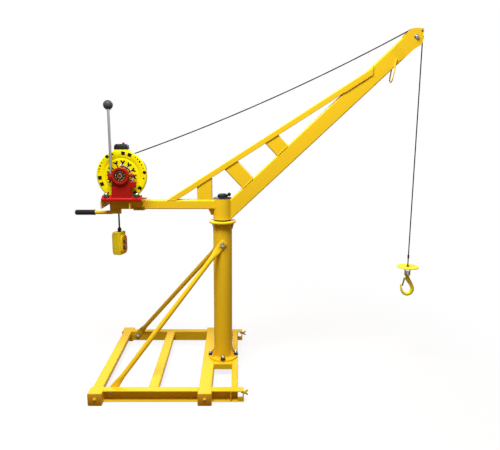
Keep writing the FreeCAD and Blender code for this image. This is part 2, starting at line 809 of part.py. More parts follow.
leave_turn = 0
arrive_turn = 0
for refinement in range(12):
    drum_leave = on_circle(winch_x, winch_z, rope_turn_radius, leave_turn)
    pulley_meet = on_circle(axle_x, axle_z, pulley_rope, arrive_turn)
    span = pulley_meet - drum_leave
    rise = math.atan2(span.z, span.x)
    half_bend = 2 * math.atan(2 * rope_sag / span.Length)
    leave_turn = rise - half_bend
    arrive_turn = rise + half_bend
sag_point = (drum_leave + pulley_meet) / 2 + Vector(math.sin(rise), 0, -math.cos(rise)) * rope_sag
slack = Part.Arc(drum_leave, sag_point, pulley_meet).toShape()
over_top = on_circle(axle_x, axle_z, pulley_rope, (arrive_turn - math.pi / 2) / 2)
wrap = Part.Arc(pulley_meet, over_top, Vector(fall_x, 0, axle_z)).toShape()
save("rope_run", swept([slack, wrap], rope_radius))
save("rope_fall", upright(fall_x, 0, ferrule_top, axle_z, rope_radius))

# Hook block: rope end ferrule, limiter disc, strap under it, and a socket for the rope's end.
ferrule_bottom = ferrule_top - ferrule_length
disc_top = ferrule_bottom - rope_tail_length
disc_bottom = disc_top - disc_thickness
rope_socket_bottom = disc_bottom - rope_socket_length
nut_top = rope_socket_bottom - nut_headroom
nut_bottom = nut_top - nut_height
strap_bottom = nut_bottom - end_clearance - strap_wall

rope_tail = upright(fall_x, 0, rope_socket_bottom, ferrule_bottom, rope_radius)
ferrule = upright(fall_x, 0, ferrule_bottom, ferrule_top, ferrule_radius)
rope_socket = upright(fall_x, 0, rope_socket_bottom, disc_bottom, rope_socket_radius)
save("rope_end", ferrule.fuse([rope_tail, rope_socket]))
disc = upright(fall_x, 0, disc_bottom, disc_top, disc_radius).cut(rope_tail)
strap = block(fall_x - strap_half, fall_x + strap_half, -strap_width / 2, strap_width / 2,
              strap_bottom, disc_bottom)
strap = strap.cut(block(fall_x - strap_half + strap_wall, fall_x + strap_half - strap_wall, -far, far,
                        strap_bottom + strap_wall, far))
strap = strap.cut(upright(fall_x, 0, 0, far, swivel_radius + running_clearance))
save("hook_strap", disc.fuse(strap))

# Hook: shank through the strap with a nut above it, round section swelling through the bowl.
shoulder_bottom = strap_bottom - shoulder_length
latch_pin_x = fall_x - latch_pin_offset
latch_pin_z = strap_bottom - latch_pin_drop


def hook_rings():
    rings = []
    for index, (x, z, radius) in enumerate(hook_line):
        before = hook_line[max(index - 1, 0)]
        after = hook_line[min(index + 1, len(hook_line) - 1)]
        heading = Vector(after[0] - before[0], 0, after[1] - before[1])
        rings.append(Part.Wire(Part.makeCircle(radius, Vector(fall_x + x, 0, strap_bottom + z), heading)))
    return rings


shank = upright(fall_x, 0, shoulder_bottom, nut_top, swivel_radius)
shoulder = upright(fall_x, 0, shoulder_bottom, strap_bottom - end_clearance, shoulder_radius)
hook_lug = cross(latch_pin_x, latch_pin_z, -hook_lug_half, hook_lug_half, hook_lug_radius)
hook_lug = hook_lug.fuse(block(latch_pin_x, fall_x, -hook_lug_half, hook_lug_half,
                               latch_pin_z - hook_lug_half, latch_pin_z + hook_lug_radius))
latch_pin = cross(latch_pin_x, latch_pin_z, -latch_pin_half, latch_pin_half, latch_pin_radius)
hook = Part.makeLoft(hook_rings(), True, False)
save("hook", hook.fuse([shank, shoulder, hook_lug, latch_pin]))
save("swivel_nut", upright(fall_x, 0, nut_bottom, nut_top, nut_radius).cut(shank))

latch_dx = latch_pin_offset - latch_end_offset
latch_dz = latch_pin_drop - latch_end_drop
latch_run = math.hypot(latch_dx, latch_dz)


def on_latch(along_latch, aside):
    x = latch_pin_x + (latch_dx * along_latch - latch_dz * aside) / latch_run
    z = latch_pin_z + (latch_dz * along_latch + latch_dx * aside) / latch_run
    return x, z


tongue = latch_thickness / 2
ear_inner = hook_lug_half + latch_gap
latch = bar(on_latch, latch_ear_length - latch_ear_lap, latch_run, -tongue, tongue, latch_half)
for y0, y1 in ((-latch_half, -ear_inner), (ear_inner, latch_half)):
    latch = latch.fuse(cross(latch_pin_x, latch_pin_z, y0, y1, latch_eye_radius))
    latch = latch.fuse(plate([on_latch(0, -latch_ear_half), on_latch(latch_ear_length, -tongue),
                              on_latch(latch_ear_length, tongue), on_latch(0, latch_ear_half)], y0, y1))
latch_hole = cross(latch_pin_x, latch_pin_z, -far, far, latch_pin_radius + running_clearance)
save("hook_latch", latch.cut(latch_hole))

# Pendant: cable from under the arm, gland, and the control body turned to face along the boom.
pendant_x = winch_x - pendant_offset
gland_top = arm_bottom - cord_length
pendant_top = gland_top - gland_length
pendant_bottom = pendant_top - pendant_length
pendant_half = pendant_width / 2
panel_right = pendant_x + pendant_depth / 2
panel_left = panel_right - panel_height

save("pendant_cord", upright(pendant_x, 0, gland_top, arm_bottom, cord_radius))
gland = upright(pendant_x, 0, pendant_top, gland_top, gland_radius)
gland = gland.fuse(Part.makeSphere(gland_bulge, Vector(pendant_x, 0, (pendant_top + gland_top) / 2)))
save("pendant_gland", gland.common(block(-far, far, -far, far, pendant_top, gland_top)))
body = block(pendant_x - pendant_depth / 2, panel_left, -pendant_half, pendant_half,
             pendant_bottom, pendant_top)
body = body.makeChamfer(pendant_chamfer, [edge for edge in body.Edges
                                          if abs(edge.tangentAt(edge.FirstParameter).z) > 0.9])
body = body.fuse(block(panel_left, panel_right, panel_side_margin - pendant_half,
                       pendant_half - panel_side_margin, pendant_bottom + panel_low_margin,
                       pendant_top - panel_high_margin))
body.rotate(Vector(pendant_x, 0, 0), Vector(0, 0, 1), pendant_turn)
save("pendant", body)
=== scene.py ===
import json
from math import atan, atan2, cos, pi, radians, sin, sqrt, tan

import bmesh
import bpy
from mathutils import Matrix, Vector


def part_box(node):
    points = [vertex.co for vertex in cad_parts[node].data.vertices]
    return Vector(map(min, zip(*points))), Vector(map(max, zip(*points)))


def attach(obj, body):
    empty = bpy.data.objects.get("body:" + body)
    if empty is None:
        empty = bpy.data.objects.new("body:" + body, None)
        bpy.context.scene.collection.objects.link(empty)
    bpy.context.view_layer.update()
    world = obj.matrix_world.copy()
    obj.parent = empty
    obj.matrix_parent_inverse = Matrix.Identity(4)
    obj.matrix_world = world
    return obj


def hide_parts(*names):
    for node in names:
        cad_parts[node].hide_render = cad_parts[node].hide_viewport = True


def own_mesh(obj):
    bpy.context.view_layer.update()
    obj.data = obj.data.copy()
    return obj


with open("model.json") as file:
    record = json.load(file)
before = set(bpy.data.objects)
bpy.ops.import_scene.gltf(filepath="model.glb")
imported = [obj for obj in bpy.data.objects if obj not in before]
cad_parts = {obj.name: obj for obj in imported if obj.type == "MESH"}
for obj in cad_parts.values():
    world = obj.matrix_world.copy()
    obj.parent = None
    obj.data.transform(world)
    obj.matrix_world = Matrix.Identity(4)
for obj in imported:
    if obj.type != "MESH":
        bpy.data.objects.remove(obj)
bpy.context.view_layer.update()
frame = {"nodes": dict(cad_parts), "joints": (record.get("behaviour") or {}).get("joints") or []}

# Studio: the crane stands on a plain pale floor in a white surround, under a broad soft lamp in front and
# above, with a weak one behind.  The camera looks a little down on it, square to the boom.
mm = 0.001
scene = bpy.context.scene
scene.view_settings.view_transform = "Standard"


def given(thing, **settings):
    """A thing with some settings changed."""
    for name, value in settings.items():
        setattr(thing, name, value)
    return thing


def placed(name, data):
    """Object that puts some data in the scene."""
    made = bpy.data.objects.new(name, data)
    scene.collection.objects.link(made)
    return made


def frozen(name, shape):
    """Mesh of a shape; the shape goes."""
    mesh = bpy.data.meshes.new(name)
    shape.to_mesh(mesh)
    shape.free()
    return mesh


camera = placed("camera", given(bpy.data.cameras.new("camera"), sensor_fit="HORIZONTAL", sensor_width=36,
                                lens=36.72, shift_x=0.026))
camera.location = (0.159, -2.711, 1.345)
camera.rotation_euler = (radians(79.12), 0, 0)
scene.camera = camera

lamp_width = 1.6
lamp_height = 1.0
lamp_spread = radians(160)
for name, place, target, watts in (("front_lamp", (-0.3, -1.05, 3.2), (-0.2, 0, 0.4), 96),
                                   ("rear_lamp", (-0.6, 2.4, 2.3), (-0.2, 0, 0.3), 28)):
    lamp = placed(name, given(bpy.data.lights.new(name, "AREA"), shape="RECTANGLE", size=lamp_width,
                              size_y=lamp_height, energy=watts, spread=lamp_spread))
    lamp.location = place
    lamp.rotation_euler = (Vector(target) - lamp.location).to_track_quat("-Z", "Y").to_euler()
    lamp.visible_camera = False


def feed(tree, node, inputs):
    """Links a node's inputs to sockets, or sets them to values."""
    for socket, value in inputs.items():
        if isinstance(value, bpy.types.NodeSocket):
            tree.links.new(value, node.inputs[socket])
        else:
            node.inputs[socket].default_value = value


def outputs(tree, kind, inputs, **settings):
    """Outputs of a new shader node with its inputs fed."""
    node = given(tree.nodes.new("ShaderNode" + kind), **settings)
    feed(tree, node, inputs)
    return node.outputs


def direct_view(tree):
    """Socket that is 1 for what the camera, gloss and glass see, and 0 for light that only bounces."""
    rays = outputs(tree, "LightPath", {})
    seen = rays["Is Camera Ray"]
    for kind in ("Is Glossy Ray", "Is Transmission Ray"):
        seen = outputs(tree, "Math", {0: seen, 1: rays[kind]}, operation="MAXIMUM")[0]
    return seen


def blended(tree, factor, first, second):
    """Colour socket that goes from one colour to another with a factor."""
    return outputs(tree, "Mix", {0: factor, 6: (*first, 1), 7: (*second, 1)}, data_type="RGBA")[2]


sky_warm = (0.33, 0.232, 0.187)
sky_seen = (1, 1, 1)
world = bpy.data.worlds.new("surround")
scene.world = world
world.use_nodes = True
tree = world.node_tree
feed(tree, tree.nodes["Background"], {"Color": blended(tree, direct_view(tree), sky_warm, sky_seen)})

floor_half = 12
floor_drop = 0.5 * mm
floor_bounce = (0.10, 0.062, 0.035)
floor_white = (0.9, 0.9, 0.9)
floor_near = 0.9
floor_far = 2.0
floor_glow = 0.84
floor_material = bpy.data.materials.new("pale_floor")
floor_material.use_nodes = True
tree = floor_material.node_tree
tree.nodes.clear()
seen = direct_view(tree)
diffuse = outputs(tree, "BsdfDiffuse", {"Color": blended(tree, seen, floor_bounce, floor_white)})[0]
where = outputs(tree, "TexCoord", {})["Object"]
away = outputs(tree, "VectorMath", {0: where}, operation="LENGTH")["Value"]
fade = outputs(tree, "MapRange", {"Value": away, "From Min": floor_near, "From Max": floor_far,
                                  "To Min": floor_glow, "To Max": 1})["Result"]
glow_share = outputs(tree, "Math", {0: seen, 1: fade}, operation="MULTIPLY")[0]
floor_mix = outputs(tree, "MixShader", {0: glow_share, 1: diffuse, 2: outputs(tree, "Emission", {})[0]})[0]
outputs(tree, "OutputMaterial", {"Surface": floor_mix})
floor_shape = bmesh.new()
bmesh.ops.create_grid(floor_shape, x_segments=1, y_segments=1, size=floor_half)
floor = placed("floor", frozen("floor", floor_shape))
floor.data.materials.append(floor_material)
floor.location = (0, 0, -floor_drop)


def surface(name, colour, other, roughness, metallic=0, drift=7, grain=300, depth=0.006,
            stretch=(1, 1, 1), specular=0.12, spread=1.0):
    """Material that drifts between two tones, with a grain that varies its gloss and dents it."""
    material = bpy.data.materials.new(name)
    material.use_nodes = True
    tree = material.node_tree
    where = outputs(tree, "TexCoord", {})["Object"]
    where = outputs(tree, "Mapping", {"Vector": where, "Scale": stretch})["Vector"]
    tones = outputs(tree, "TexNoise", {"Vector": where, "Scale": drift, "Detail": 5})["Fac"]
    grains = outputs(tree, "TexNoise", {"Vector": where, "Scale": grain, "Detail": 3})["Fac"]
    share = outputs(tree, "MapRange", {"Value": tones, "From Min": 0.5 - spread / 2,
                                       "From Max": 0.5 + spread / 2})["Result"]
    gloss = outputs(tree, "MapRange", {"Value": grains, "To Min": 0.75 * roughness,
                                       "To Max": 1.25 * roughness})["Result"]
    dents = outputs(tree, "Bump", {"Height": grains, "Strength": 0.6, "Distance": depth * mm})["Normal"]
    feed(tree, tree.nodes["Principled BSDF"], {
        "Base Color": blended(tree, share, colour, other), "Roughness": gloss, "Normal": dents,
        "Metallic": metallic, "Specular IOR Level": specular})
    return material


def dress(material, *names):
    """Gives CAD nodes their finish."""
    for name in names:
        finishes = frame["nodes"][name].data.materials
        finishes.clear()
        finishes.append(material)


def gathered(shapes):
    """Several shapes as one."""
    whole = bmesh.new()
    for shape in shapes:
        mesh = frozen("gathered", shape)
        whole.from_mesh(mesh)
        bpy.data.meshes.remove(mesh)
    return whole


def piece(name, shapes, material, body, *stands_for):
    """Joins shapes into a finished piece that rides on a body, in place of some CAD nodes."""
    mesh = frozen(name, gathered(shapes))
    mesh.materials.append(material)
    mesh.polygons.foreach_set("use_smooth", [True] * len(mesh.polygons))
    mesh.set_sharp_from_angle(angle=radians(34))
    made = placed(name, mesh)
    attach(made, body)
    if stands_for:
        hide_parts(*stands_for)
    return made


def bevelled(shape, edges, radius, segments):
    """Bevels some edges by a radius in millimetres."""
    bmesh.ops.bevel(shape, geom=edges, offset=radius * mm, offset_type="OFFSET", segments=segments,
                    profile=0.5, affect="EDGES", clamp_overlap=True, material=-1)
    return shape


def eased(shape, radius, segments=2):
    """Rounds every sharp edge of a closed shape by a radius in millimetres."""
    sharp = [edge for edge in shape.edges if edge.is_manifold and edge.calc_face_angle() > radians(28)]
    return bevelled(shape, sharp, radius, segments)


def block(low, high):
    """Box between two corners."""
    shape = bmesh.new()
    size = Vector(high) - Vector(low)
    middle = (Vector(low) + Vector(high)) / 2
    bmesh.ops.create_cube(shape, size=1, matrix=Matrix.Translation(middle) @ Matrix.Diagonal((*size, 1)))
    return shape


def aimed(place, axis):
    """Matrix that sets a shape drawn up +Z at a place, along an axis."""
    return Matrix.Translation(place) @ Vector(axis).to_track_quat("Z", "Y").to_matrix().to_4x4()


def lathe(outline, place, axis, steps=48):
    """Shape spun from (radius, height) points in millimetres, about an axis through a place."""
    shape = bmesh.new()
    points = [shape.verts.new((radius * mm, 0, height * mm)) for radius, height in outline]
    edges = [shape.edges.new(pair) for pair in zip(points, points[1:])]
    bmesh.ops.spin(shape, geom=points + edges, cent=(0, 0, 0), axis=(0, 0, 1), angle=2 * pi, steps=steps,
                   use_merge=True)
    bmesh.ops.remove_doubles(shape, verts=shape.verts, dist=0.001 * mm)
    bmesh.ops.recalc_face_normals(shape, faces=shape.faces)
    shape.transform(aimed(place, axis))
    return shape


def bulge(radius, rise, start=0, stop=91, step=15, middle=0, base=0):
    """(radius, height) points of a rounded end for lathe, from its side up to its top."""
    turns = [radians(angle) for angle in range(start, stop, step)]
    return [(middle + radius * cos(turn), base + rise * sin(turn)) for turn in turns]


def settled(made):
    """Shape of an object with its modifiers applied; the object goes."""
    bpy.context.view_layer.update()
    mesh = bpy.data.meshes.new_from_object(made.evaluated_get(bpy.context.evaluated_depsgraph_get()))
    shape = bmesh.new()
    shape.from_mesh(mesh)
    bpy.data.objects.remove(made)
    bpy.data.meshes.remove(mesh)
    return shape


def rod_curve(name, radius, facets):
    """Curve that is drawn as a round rod, with no path yet."""
    return given(bpy.data.curves.new(name, "CURVE"), dimensions="3D", bevel_depth=radius,
                 bevel_resolution=facets, use_fill_caps=True)


def tubes(paths, radius, facets=2):
    """Round rods along paths of (point, thickness factor) pairs."""
    curve = rod_curve("rods", radius, facets)
    for path in paths:
        spline = curve.splines.new("POLY")
        spline.points.add(len(path) - 1)
        for point, (place, factor) in zip(spline.points, path):
            point.co = (*place, 1)
            point.radius = factor
    return settled(placed("rods", curve))


bead_radius = 2.6 * mm
bead_ripple = 2.4 * mm
bead_waist = 0.78


def weld(start, end, factor=1):
    """Rippled bead along a straight seam, as a path for tubes."""
    start = Vector(start)
    run = Vector(end) - start
    steps = max(3, round(run.length / bead_ripple))
    return [(start + run * step / steps, factor * (1 if step % 2 else bead_waist))
            for step in range(steps + 1)]


paint = surface("crane_yellow", (0.85, 0.57, 0.018), (0.83, 0.54, 0.015), 0.36,
                specular=0.08)
dress(paint, "beam_left", "beam_middle", "beam_column", "beam_right", "rail_front", "rail_rear")
rail_low, rail_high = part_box("rail_front")
rail_inside = rail_high.y
beam_top = rail_high.z
flat_bottom = beam_top - 30 * mm
bead_top = beam_top - 4 * mm
seams = []
for beam, width, bottom in (("beam_left", 52 * mm, flat_bottom), ("beam_middle", 50 * mm, flat_bottom),
                            ("beam_column", 64 * mm, rail_low.z), ("beam_right", 32 * mm, flat_bottom)):
    low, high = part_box(beam)
    right_x = high.x if beam == "beam_right" else (low.x + high.x + width) / 2
    for x in (right_x - width, right_x):
        for y in (rail_inside, -rail_inside):
            seams.append(weld((x, y, bottom + bead_radius), (x, y, bead_top)))
piece("frame_welds", [tubes(seams, bead_radius)], paint, "base")

# Foot plates: a browner yellow than the frame's, which is painted shade for their low front faces.
painted_shade_ochre = surface("foot_plate_painted_shade", (0.74, 0.40, 0.030), (0.66, 0.34, 0.024), 0.42, drift=22,
                specular=0.05)
foot_reach = -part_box("beam_left")[0].y
plate_inset = 2.5 * mm
plate_proud = 1.6 * mm
screw_rise = 2 * mm
plates = []
screws = []
for beam in ("beam_left", "beam_column"):
    low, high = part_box(beam)
    for out in (-1, 1):
        near_y, far_y = sorted((out * foot_reach, out * (foot_reach + plate_proud)))
        plates.append(eased(block((low.x + plate_inset, near_y, low.z + plate_inset),
                                  (high.x - plate_inset, far_y, high.z - plate_inset)), radius=0.7))
        screw_place = (low + high) / 2 + Vector((0, 0, screw_rise))
        screw_place.y = out * (foot_reach + plate_proud)
        screws.append(lathe([(0, -0.4), (9.5, -0.4), (9.5, 1), (7.5, 1.4), *bulge(7.5, 6, 15, 90),
                             (1.6, 5.8), (1.6, 4), (0, 4)], screw_place, (0, out, 0), 24))
piece("foot_plates", plates, painted_shade_ochre, "base")
piece("foot_screws", screws, paint, "base")

# Rail ends: channel ends with a slot for a bar, over a sill in the rear one's web and across the front
# one's mouth.  Each bar is pinched by a wing screw, a painted casting on a bare threaded shank.
dress(paint, "rail_end_front", "rail_end_rear")
dark_steel = surface("oiled_steel", (0.055, 0.050, 0.048), (0.10, 0.09, 0.085), 0.38,
                     metallic=0.8, drift=60, grain=500, depth=0.05)
wing_length = 19 * mm
wing_half_width = 5 * mm
wing_half_thickness = 1.8 * mm
wing_splay = radians(38)
wing_root = 4 * mm
wing_gap = 2 * mm


def thread(place, axis, radius, length, pitch=1.75):
    """Screw thread in millimetres, drawn as close grooves round a shank with a chamfered end."""
    outline = [(0, length), (radius - 1.2, length)]
    for turn in range(int(length / pitch) - 1, -1, -1):
        outline += [(radius, (turn + 0.75) * pitch), (radius - 0.8, (turn + 0.25) * pitch)]
    return lathe([*outline, (radius - 0.8, 0), (0, 0)], place, axis, 20)


for name in ("wing_screw_front", "wing_screw_rear"):
    low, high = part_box(name)
    seat = (low + high) / 2
    seat.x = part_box("rail_end_front")[1].x
    hub = lathe([(0, 0), (9, 0), (7.5, 6), (5.5, 10), (0, 10)], seat, (1, 0, 0), 24)
    grip_parts = [eased(hub, 1)]
    for splay in (wing_splay, -wing_splay):
        wing = eased(block((0, -wing_half_thickness, -wing_half_width),
                           (wing_length, wing_half_thickness, wing_half_width)), 1.6, 3)
        wing.transform(Matrix.Translation(seat + Vector((wing_root, 0, 0))) @ Matrix.Rotation(splay, 4, "Y")
                       @ Matrix.Translation((wing_gap, 0, 0)))
        grip_parts.append(wing)
    piece(name + "_grip", grip_parts, paint, "base", name)
    piece(name + "_shank", [thread(seat, (-1, 0, 0), radius=4.6, length=(seat.x - low.x) / mm)], dark_steel,
          "base")

# Column: steel pipe welded to a round flange with ribs, and a rounded collar with ribs at the top.
# Four studs with washers and nuts hold the flange down on the frame, and a greased ring carries the sleeve.
dress(paint, "column", "column_pivot")
# Zinc: a random mottle whose near-black and bright patches are painted reflections.
zinc_painted_reflections = surface("zinc_plate_painted_reflections", (0.58, 0.58, 0.57), (0.07, 0.07, 0.08), 0.26, metallic=1,
               drift=120, grain=900, depth=0.02, spread=0.3)
up = Vector((0, 0, 1))
column_low, column_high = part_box("column")
column_x = (column_low.x + column_high.x) / 2
bead_circle = 52 * mm
flange_top = beam_top + 10 * mm
collar_bottom = column_high.z
collar_thickness = 12 * mm
stud_circle = 70 * mm


def ring(place, axis, inner, outer, low, high, steps=48):
    """Square-edged ring in millimetres, about an axis through a place."""
    corners = [(inner, low), (outer, low), (outer, high), (inner, high), (inner, low)]
    return lathe(corners, place, axis, steps)


def hexagon(place, axis, radius, height):
    """Six-sided nut or bolt head in millimetres, with its corners turned off."""
    shape = bmesh.new()
    bmesh.ops.create_cone(shape, cap_ends=True, cap_tris=False, segments=6, radius1=radius * mm,
                          radius2=radius * mm, depth=height * mm,
                          matrix=Matrix.Translation(up * height * mm / 2))
    rims = [edge for edge in shape.edges if abs(edge.verts[0].co.z - edge.verts[1].co.z) < 0.01 * mm]
    bevelled(shape, rims, 0.09 * radius, 2)
    shape.transform(aimed(place, axis))
    return shape


def nut(place, axis, radius, height, washer_radius, washer_height, hole):
    """Nut or bolt head on a washer that lies on a face, in millimetres."""
    washer = ring(place, axis, hole, washer_radius, 0, washer_height, 28)
    return [eased(washer, 0.4, 1), hexagon(place + axis * washer_height * mm, axis, radius, height)]


def weld_ring(height, factor):
    """Rippled bead round the column at a height, as a path for tubes."""
    steps = round(2 * pi * bead_circle / bead_ripple / factor)
    path = []
    for step in range(steps + 1):
        angle = 2 * pi * step / steps
        offset = Vector((cos(angle), sin(angle), 0)) * bead_circle
        path.append((Vector((column_x, 0, height)) + offset, factor * (1 if step % 2 else bead_waist)))
    return path


studs = []
nuts = []
for out in ((1, 0, 0), (0, 1, 0), (-1, 0, 0), (0, -1, 0)):
    foot = Vector((column_x, 0, flange_top)) + Vector(out) * stud_circle
    nuts += nut(foot, up, radius=13.5, height=11, washer_radius=15, washer_height=2.5, hole=6)
    studs.append(thread(foot, up, radius=6, length=27))
piece("flange_studs", studs, zinc_painted_reflections, "base")
piece("flange_nuts", nuts, dark_steel, "base")
piece("column_welds", [tubes([weld_ring(flange_top + 1 * mm, 1.5), weld_ring(collar_bottom - 1 * mm, 1.2)],
                             bead_radius)], paint, "base")
grease = surface("black_grease", (0.007, 0.006, 0.005), (0.016, 0.013, 0.010), 0.34, drift=90,
                 depth=0.15)
collar_top = (column_x, 0, collar_bottom + collar_thickness)
thrust = ring(collar_top, up, inner=40, outer=46.5, low=0, high=7, steps=64)
piece("thrust_ring", [eased(thrust, 0.6)], grease, "base")

# Braces: round pipes whose ends are pressed flat and bolted to the column and to the inside of the rails.
# Each upper end has a spare hole under its bolt.
front = Vector((0, -1, 0))
back = Vector((0, 1, 0))
brace_low, brace_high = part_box("brace_front")
pipe_radius = 13 * mm
pipe_facets = 28
flat_half_width = 19 * mm
flat_half_thickness = 3 * mm
flat_end = 32 * mm
pressed_end = 92 * mm
tab_end = 21 * mm
tab_corner = 7 * mm
rail_wall = 5 * mm
brace_top = Vector((column_x, brace_high.y - flat_half_thickness, brace_high.z - flat_half_width))
brace_foot = Vector((brace_low.x + flat_half_width, brace_low.y + flat_half_thickness, 46 * mm))
spare_hole_drop = 19 * mm


def smooth_step(value):
    """Share from 0 to 1 that starts and ends gently."""
    value = min(max(value, 0), 1)
    return value * value * (3 - 2 * value)


def pressed_pipe(start, end):
    """Pipe between two bolts, flattened in the upright plane near each of them."""
    level_run = Vector((end.x - start.x, 0, end.z - start.z))
    length = level_run.length
    forward = level_run.normalized()
    stations = [-tab_end + tab_corner * (1 - cos(radians(angle))) for angle in (0, 30, 60, 90)]
    stations += [flat_end + (pressed_end - flat_end) * step / 8 for step in range(9)]
    stations += [length / 2] + [length - station for station in reversed(stations)]
    shape = bmesh.new()
    last = None
    for station in stations:
        inward = min(station, length - station)
        press = smooth_step((inward - flat_end) / (pressed_end - flat_end))
        half_width = flat_half_width + (pipe_radius - flat_half_width) * press
        cut_back = tab_corner - tab_end - inward
        if cut_back > 0:
            half_width += sqrt(max(tab_corner ** 2 - cut_back ** 2, 0)) - tab_corner
        half_thickness = flat_half_thickness + (pipe_radius - flat_half_thickness) * press
        middle = start + forward * station
        slant = (station - flat_end) / (length - 2 * flat_end)
        middle.y = start.y + (end.y - start.y) * min(max(slant, 0), 1)
        across = Matrix((forward.cross(back) * half_width, back * half_thickness, forward))
        place = Matrix.Translation(middle) @ across.transposed().to_4x4()
        loop = bmesh.ops.create_circle(shape, cap_ends=False, segments=pipe_facets, radius=1, matrix=place)
        rim = loop["verts"]
        edges = [edge for edge in shape.edges if edge.verts[0] in rim and edge.verts[1] in rim]
        if last:
            bmesh.ops.bridge_loops(shape, edges=last + edges)
        else:
            first = edges
        last = edges
    for edges in (first, last):
        bmesh.ops.holes_fill(shape, edges=edges, sides=0)
    bmesh.ops.recalc_face_normals(shape, faces=shape.faces)
    return shape


def reworked(shape, *changes):
    """Shape after modifiers, which are given as pairs of a kind and its settings."""
    made = placed("blank", frozen("blank", shape))
    for kind, settings in changes:
        given(made.modifiers.new(kind, kind), **settings)
    return settled(made)


def carved(shape, cutter):
    """Shape less a cutter, both closed."""
    tool = placed("cutter", frozen("cutter", cutter))
    result = reworked(shape, ("BOOLEAN", {"operation": "DIFFERENCE", "solver": "EXACT", "object": tool}))
    bpy.data.objects.remove(tool)
    return result


down_brace = Vector((brace_foot.x - brace_top.x, 0, brace_foot.z - brace_top.z)).normalized()
for name, side in (("brace_front", 1), ("brace_rear", -1)):
    spare_hole = brace_top + down_brace * spare_hole_drop
    drill = lathe([(0, -20), (4, -20), (4, 20), (0, 20)], spare_hole, front, steps=20)
    pipe = carved(pressed_pipe(brace_top, brace_foot), drill)
    bolt_parts = []
    for face, out in ((brace_top + front * flat_half_thickness, front),
                      (brace_foot + back * flat_half_thickness, back)):
        bolt_parts += nut(face, out, radius=9.5, height=6.5, washer_radius=11.5, washer_height=2, hole=5)
    web_face = Vector((brace_foot.x, rail_inside - rail_wall, brace_foot.z))
    bolt_parts += [hexagon(web_face, front, radius=9.5, height=6.5),
                   thread(web_face, front, radius=6, length=12)]
    bolts = gathered(bolt_parts)
    if side < 0:
        for shape in (pipe, bolts):
            bmesh.ops.scale(shape, vec=(1, -1, 1), verts=shape.verts)
            bmesh.ops.recalc_face_normals(shape, faces=shape.faces)
    piece(name + "_pipe", [pipe], paint, "base", name)
    piece(name + "_bolts", [bolts], zinc_painted_reflections, "base")

# Turning head: a bored sleeve on the pivot with the tube arm and its gusset welded to it.  A moulded
# black cap with a ball on a short stem closes the sleeve's top.
dress(paint, "sleeve", "rear_arm")
black_plastic = surface("black_moulding", (0.008, 0.008, 0.009), (0.015, 0.015, 0.016), 0.42,
                        drift=40, grain=900, depth=0.06)
sleeve_radius = 50.05 * mm
sleeve_left = column_x - sleeve_radius
sleeve_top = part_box("sleeve")[1].z
arm_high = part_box("rear_arm")[1]
arm_half = arm_high.y
arm_top = arm_high.z
arm_bottom = 915 * mm
arm_meet = column_x - sqrt(sleeve_radius ** 2 - arm_half ** 2)
gusset_left = column_x - 75 * mm
gusset_low = arm_bottom - 35 * mm
gusset_half = 4.5 * mm
stem_radius = 6 * mm
stem_foot = Vector((column_x + 20 * mm, 0, sleeve_top + 12 * mm))
ball_place = Vector((column_x + 36 * mm, 0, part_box("sleeve_cap")[1].z - 10.5 * mm))


def sphere(place, radius, around, rings):
    """Ball of a radius in millimetres."""
    shape = bmesh.new()
    bmesh.ops.create_uvsphere(shape, u_segments=around, v_segments=rings, radius=radius * mm,
                              matrix=Matrix.Translation(place))
    return shape


cap = lathe([(0, 0), (48.5, 0), (49.5, 2), (48.5, 4), (31, 6), (27, 8), *bulge(14, 14, middle=13, base=12),
             (0, 26)], (column_x, 0, sleeve_top), up, 64)
stem = tubes([[(stem_foot, 1), (ball_place, 0.8)]], stem_radius, 4)
ball = sphere(ball_place, radius=10, around=28, rings=18)
piece("cap_moulding", [cap, stem, ball], black_plastic, "jib", "sleeve_cap")

jib_seams = []
for y in (-arm_half, arm_half):
    jib_seams.append(weld((arm_meet, y, arm_bottom + 3 * mm), (arm_meet, y, arm_top - 3 * mm)))
for y in (-gusset_half, gusset_half):
    jib_seams += [weld((gusset_left, y, arm_bottom - 1 * mm), (sleeve_left, y, arm_bottom - 1 * mm)),
                  weld((sleeve_left, y, arm_bottom), (sleeve_left, y, gusset_low))]

# Boom: one rectangular tube rising from the sleeve, with a channel chord over three short posts that ties
# it back to the arm.  All joints are welded and painted over.
dress(paint, "boom", "top_chord", "post_lower", "post_middle", "post_upper")
boom_slope = radians(43.35)
boom_half_depth = 40 * mm
boom_half = 25 * mm
axle_low, axle_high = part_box("pulley_axle")
axle = (axle_low + axle_high) / 2
boom_length = (axle.x - column_x) / cos(boom_slope)
post_half = 40 * mm
post_low, post_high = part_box("post_lower")
corner_gap = 5 * mm
chord_low, chord_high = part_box("top_chord")
chord_depth = 28 * mm
chord_lap = 32 * mm
lap_half = boom_half + 2 * mm


def on_boom(along, above, y=0):
    """Place on the boom: distance up it from the axle, height above its middle line, and across."""
    return Vector((axle.x + along * cos(boom_slope) - above * sin(boom_slope), y,
                   axle.z + along * sin(boom_slope) + above * cos(boom_slope)))


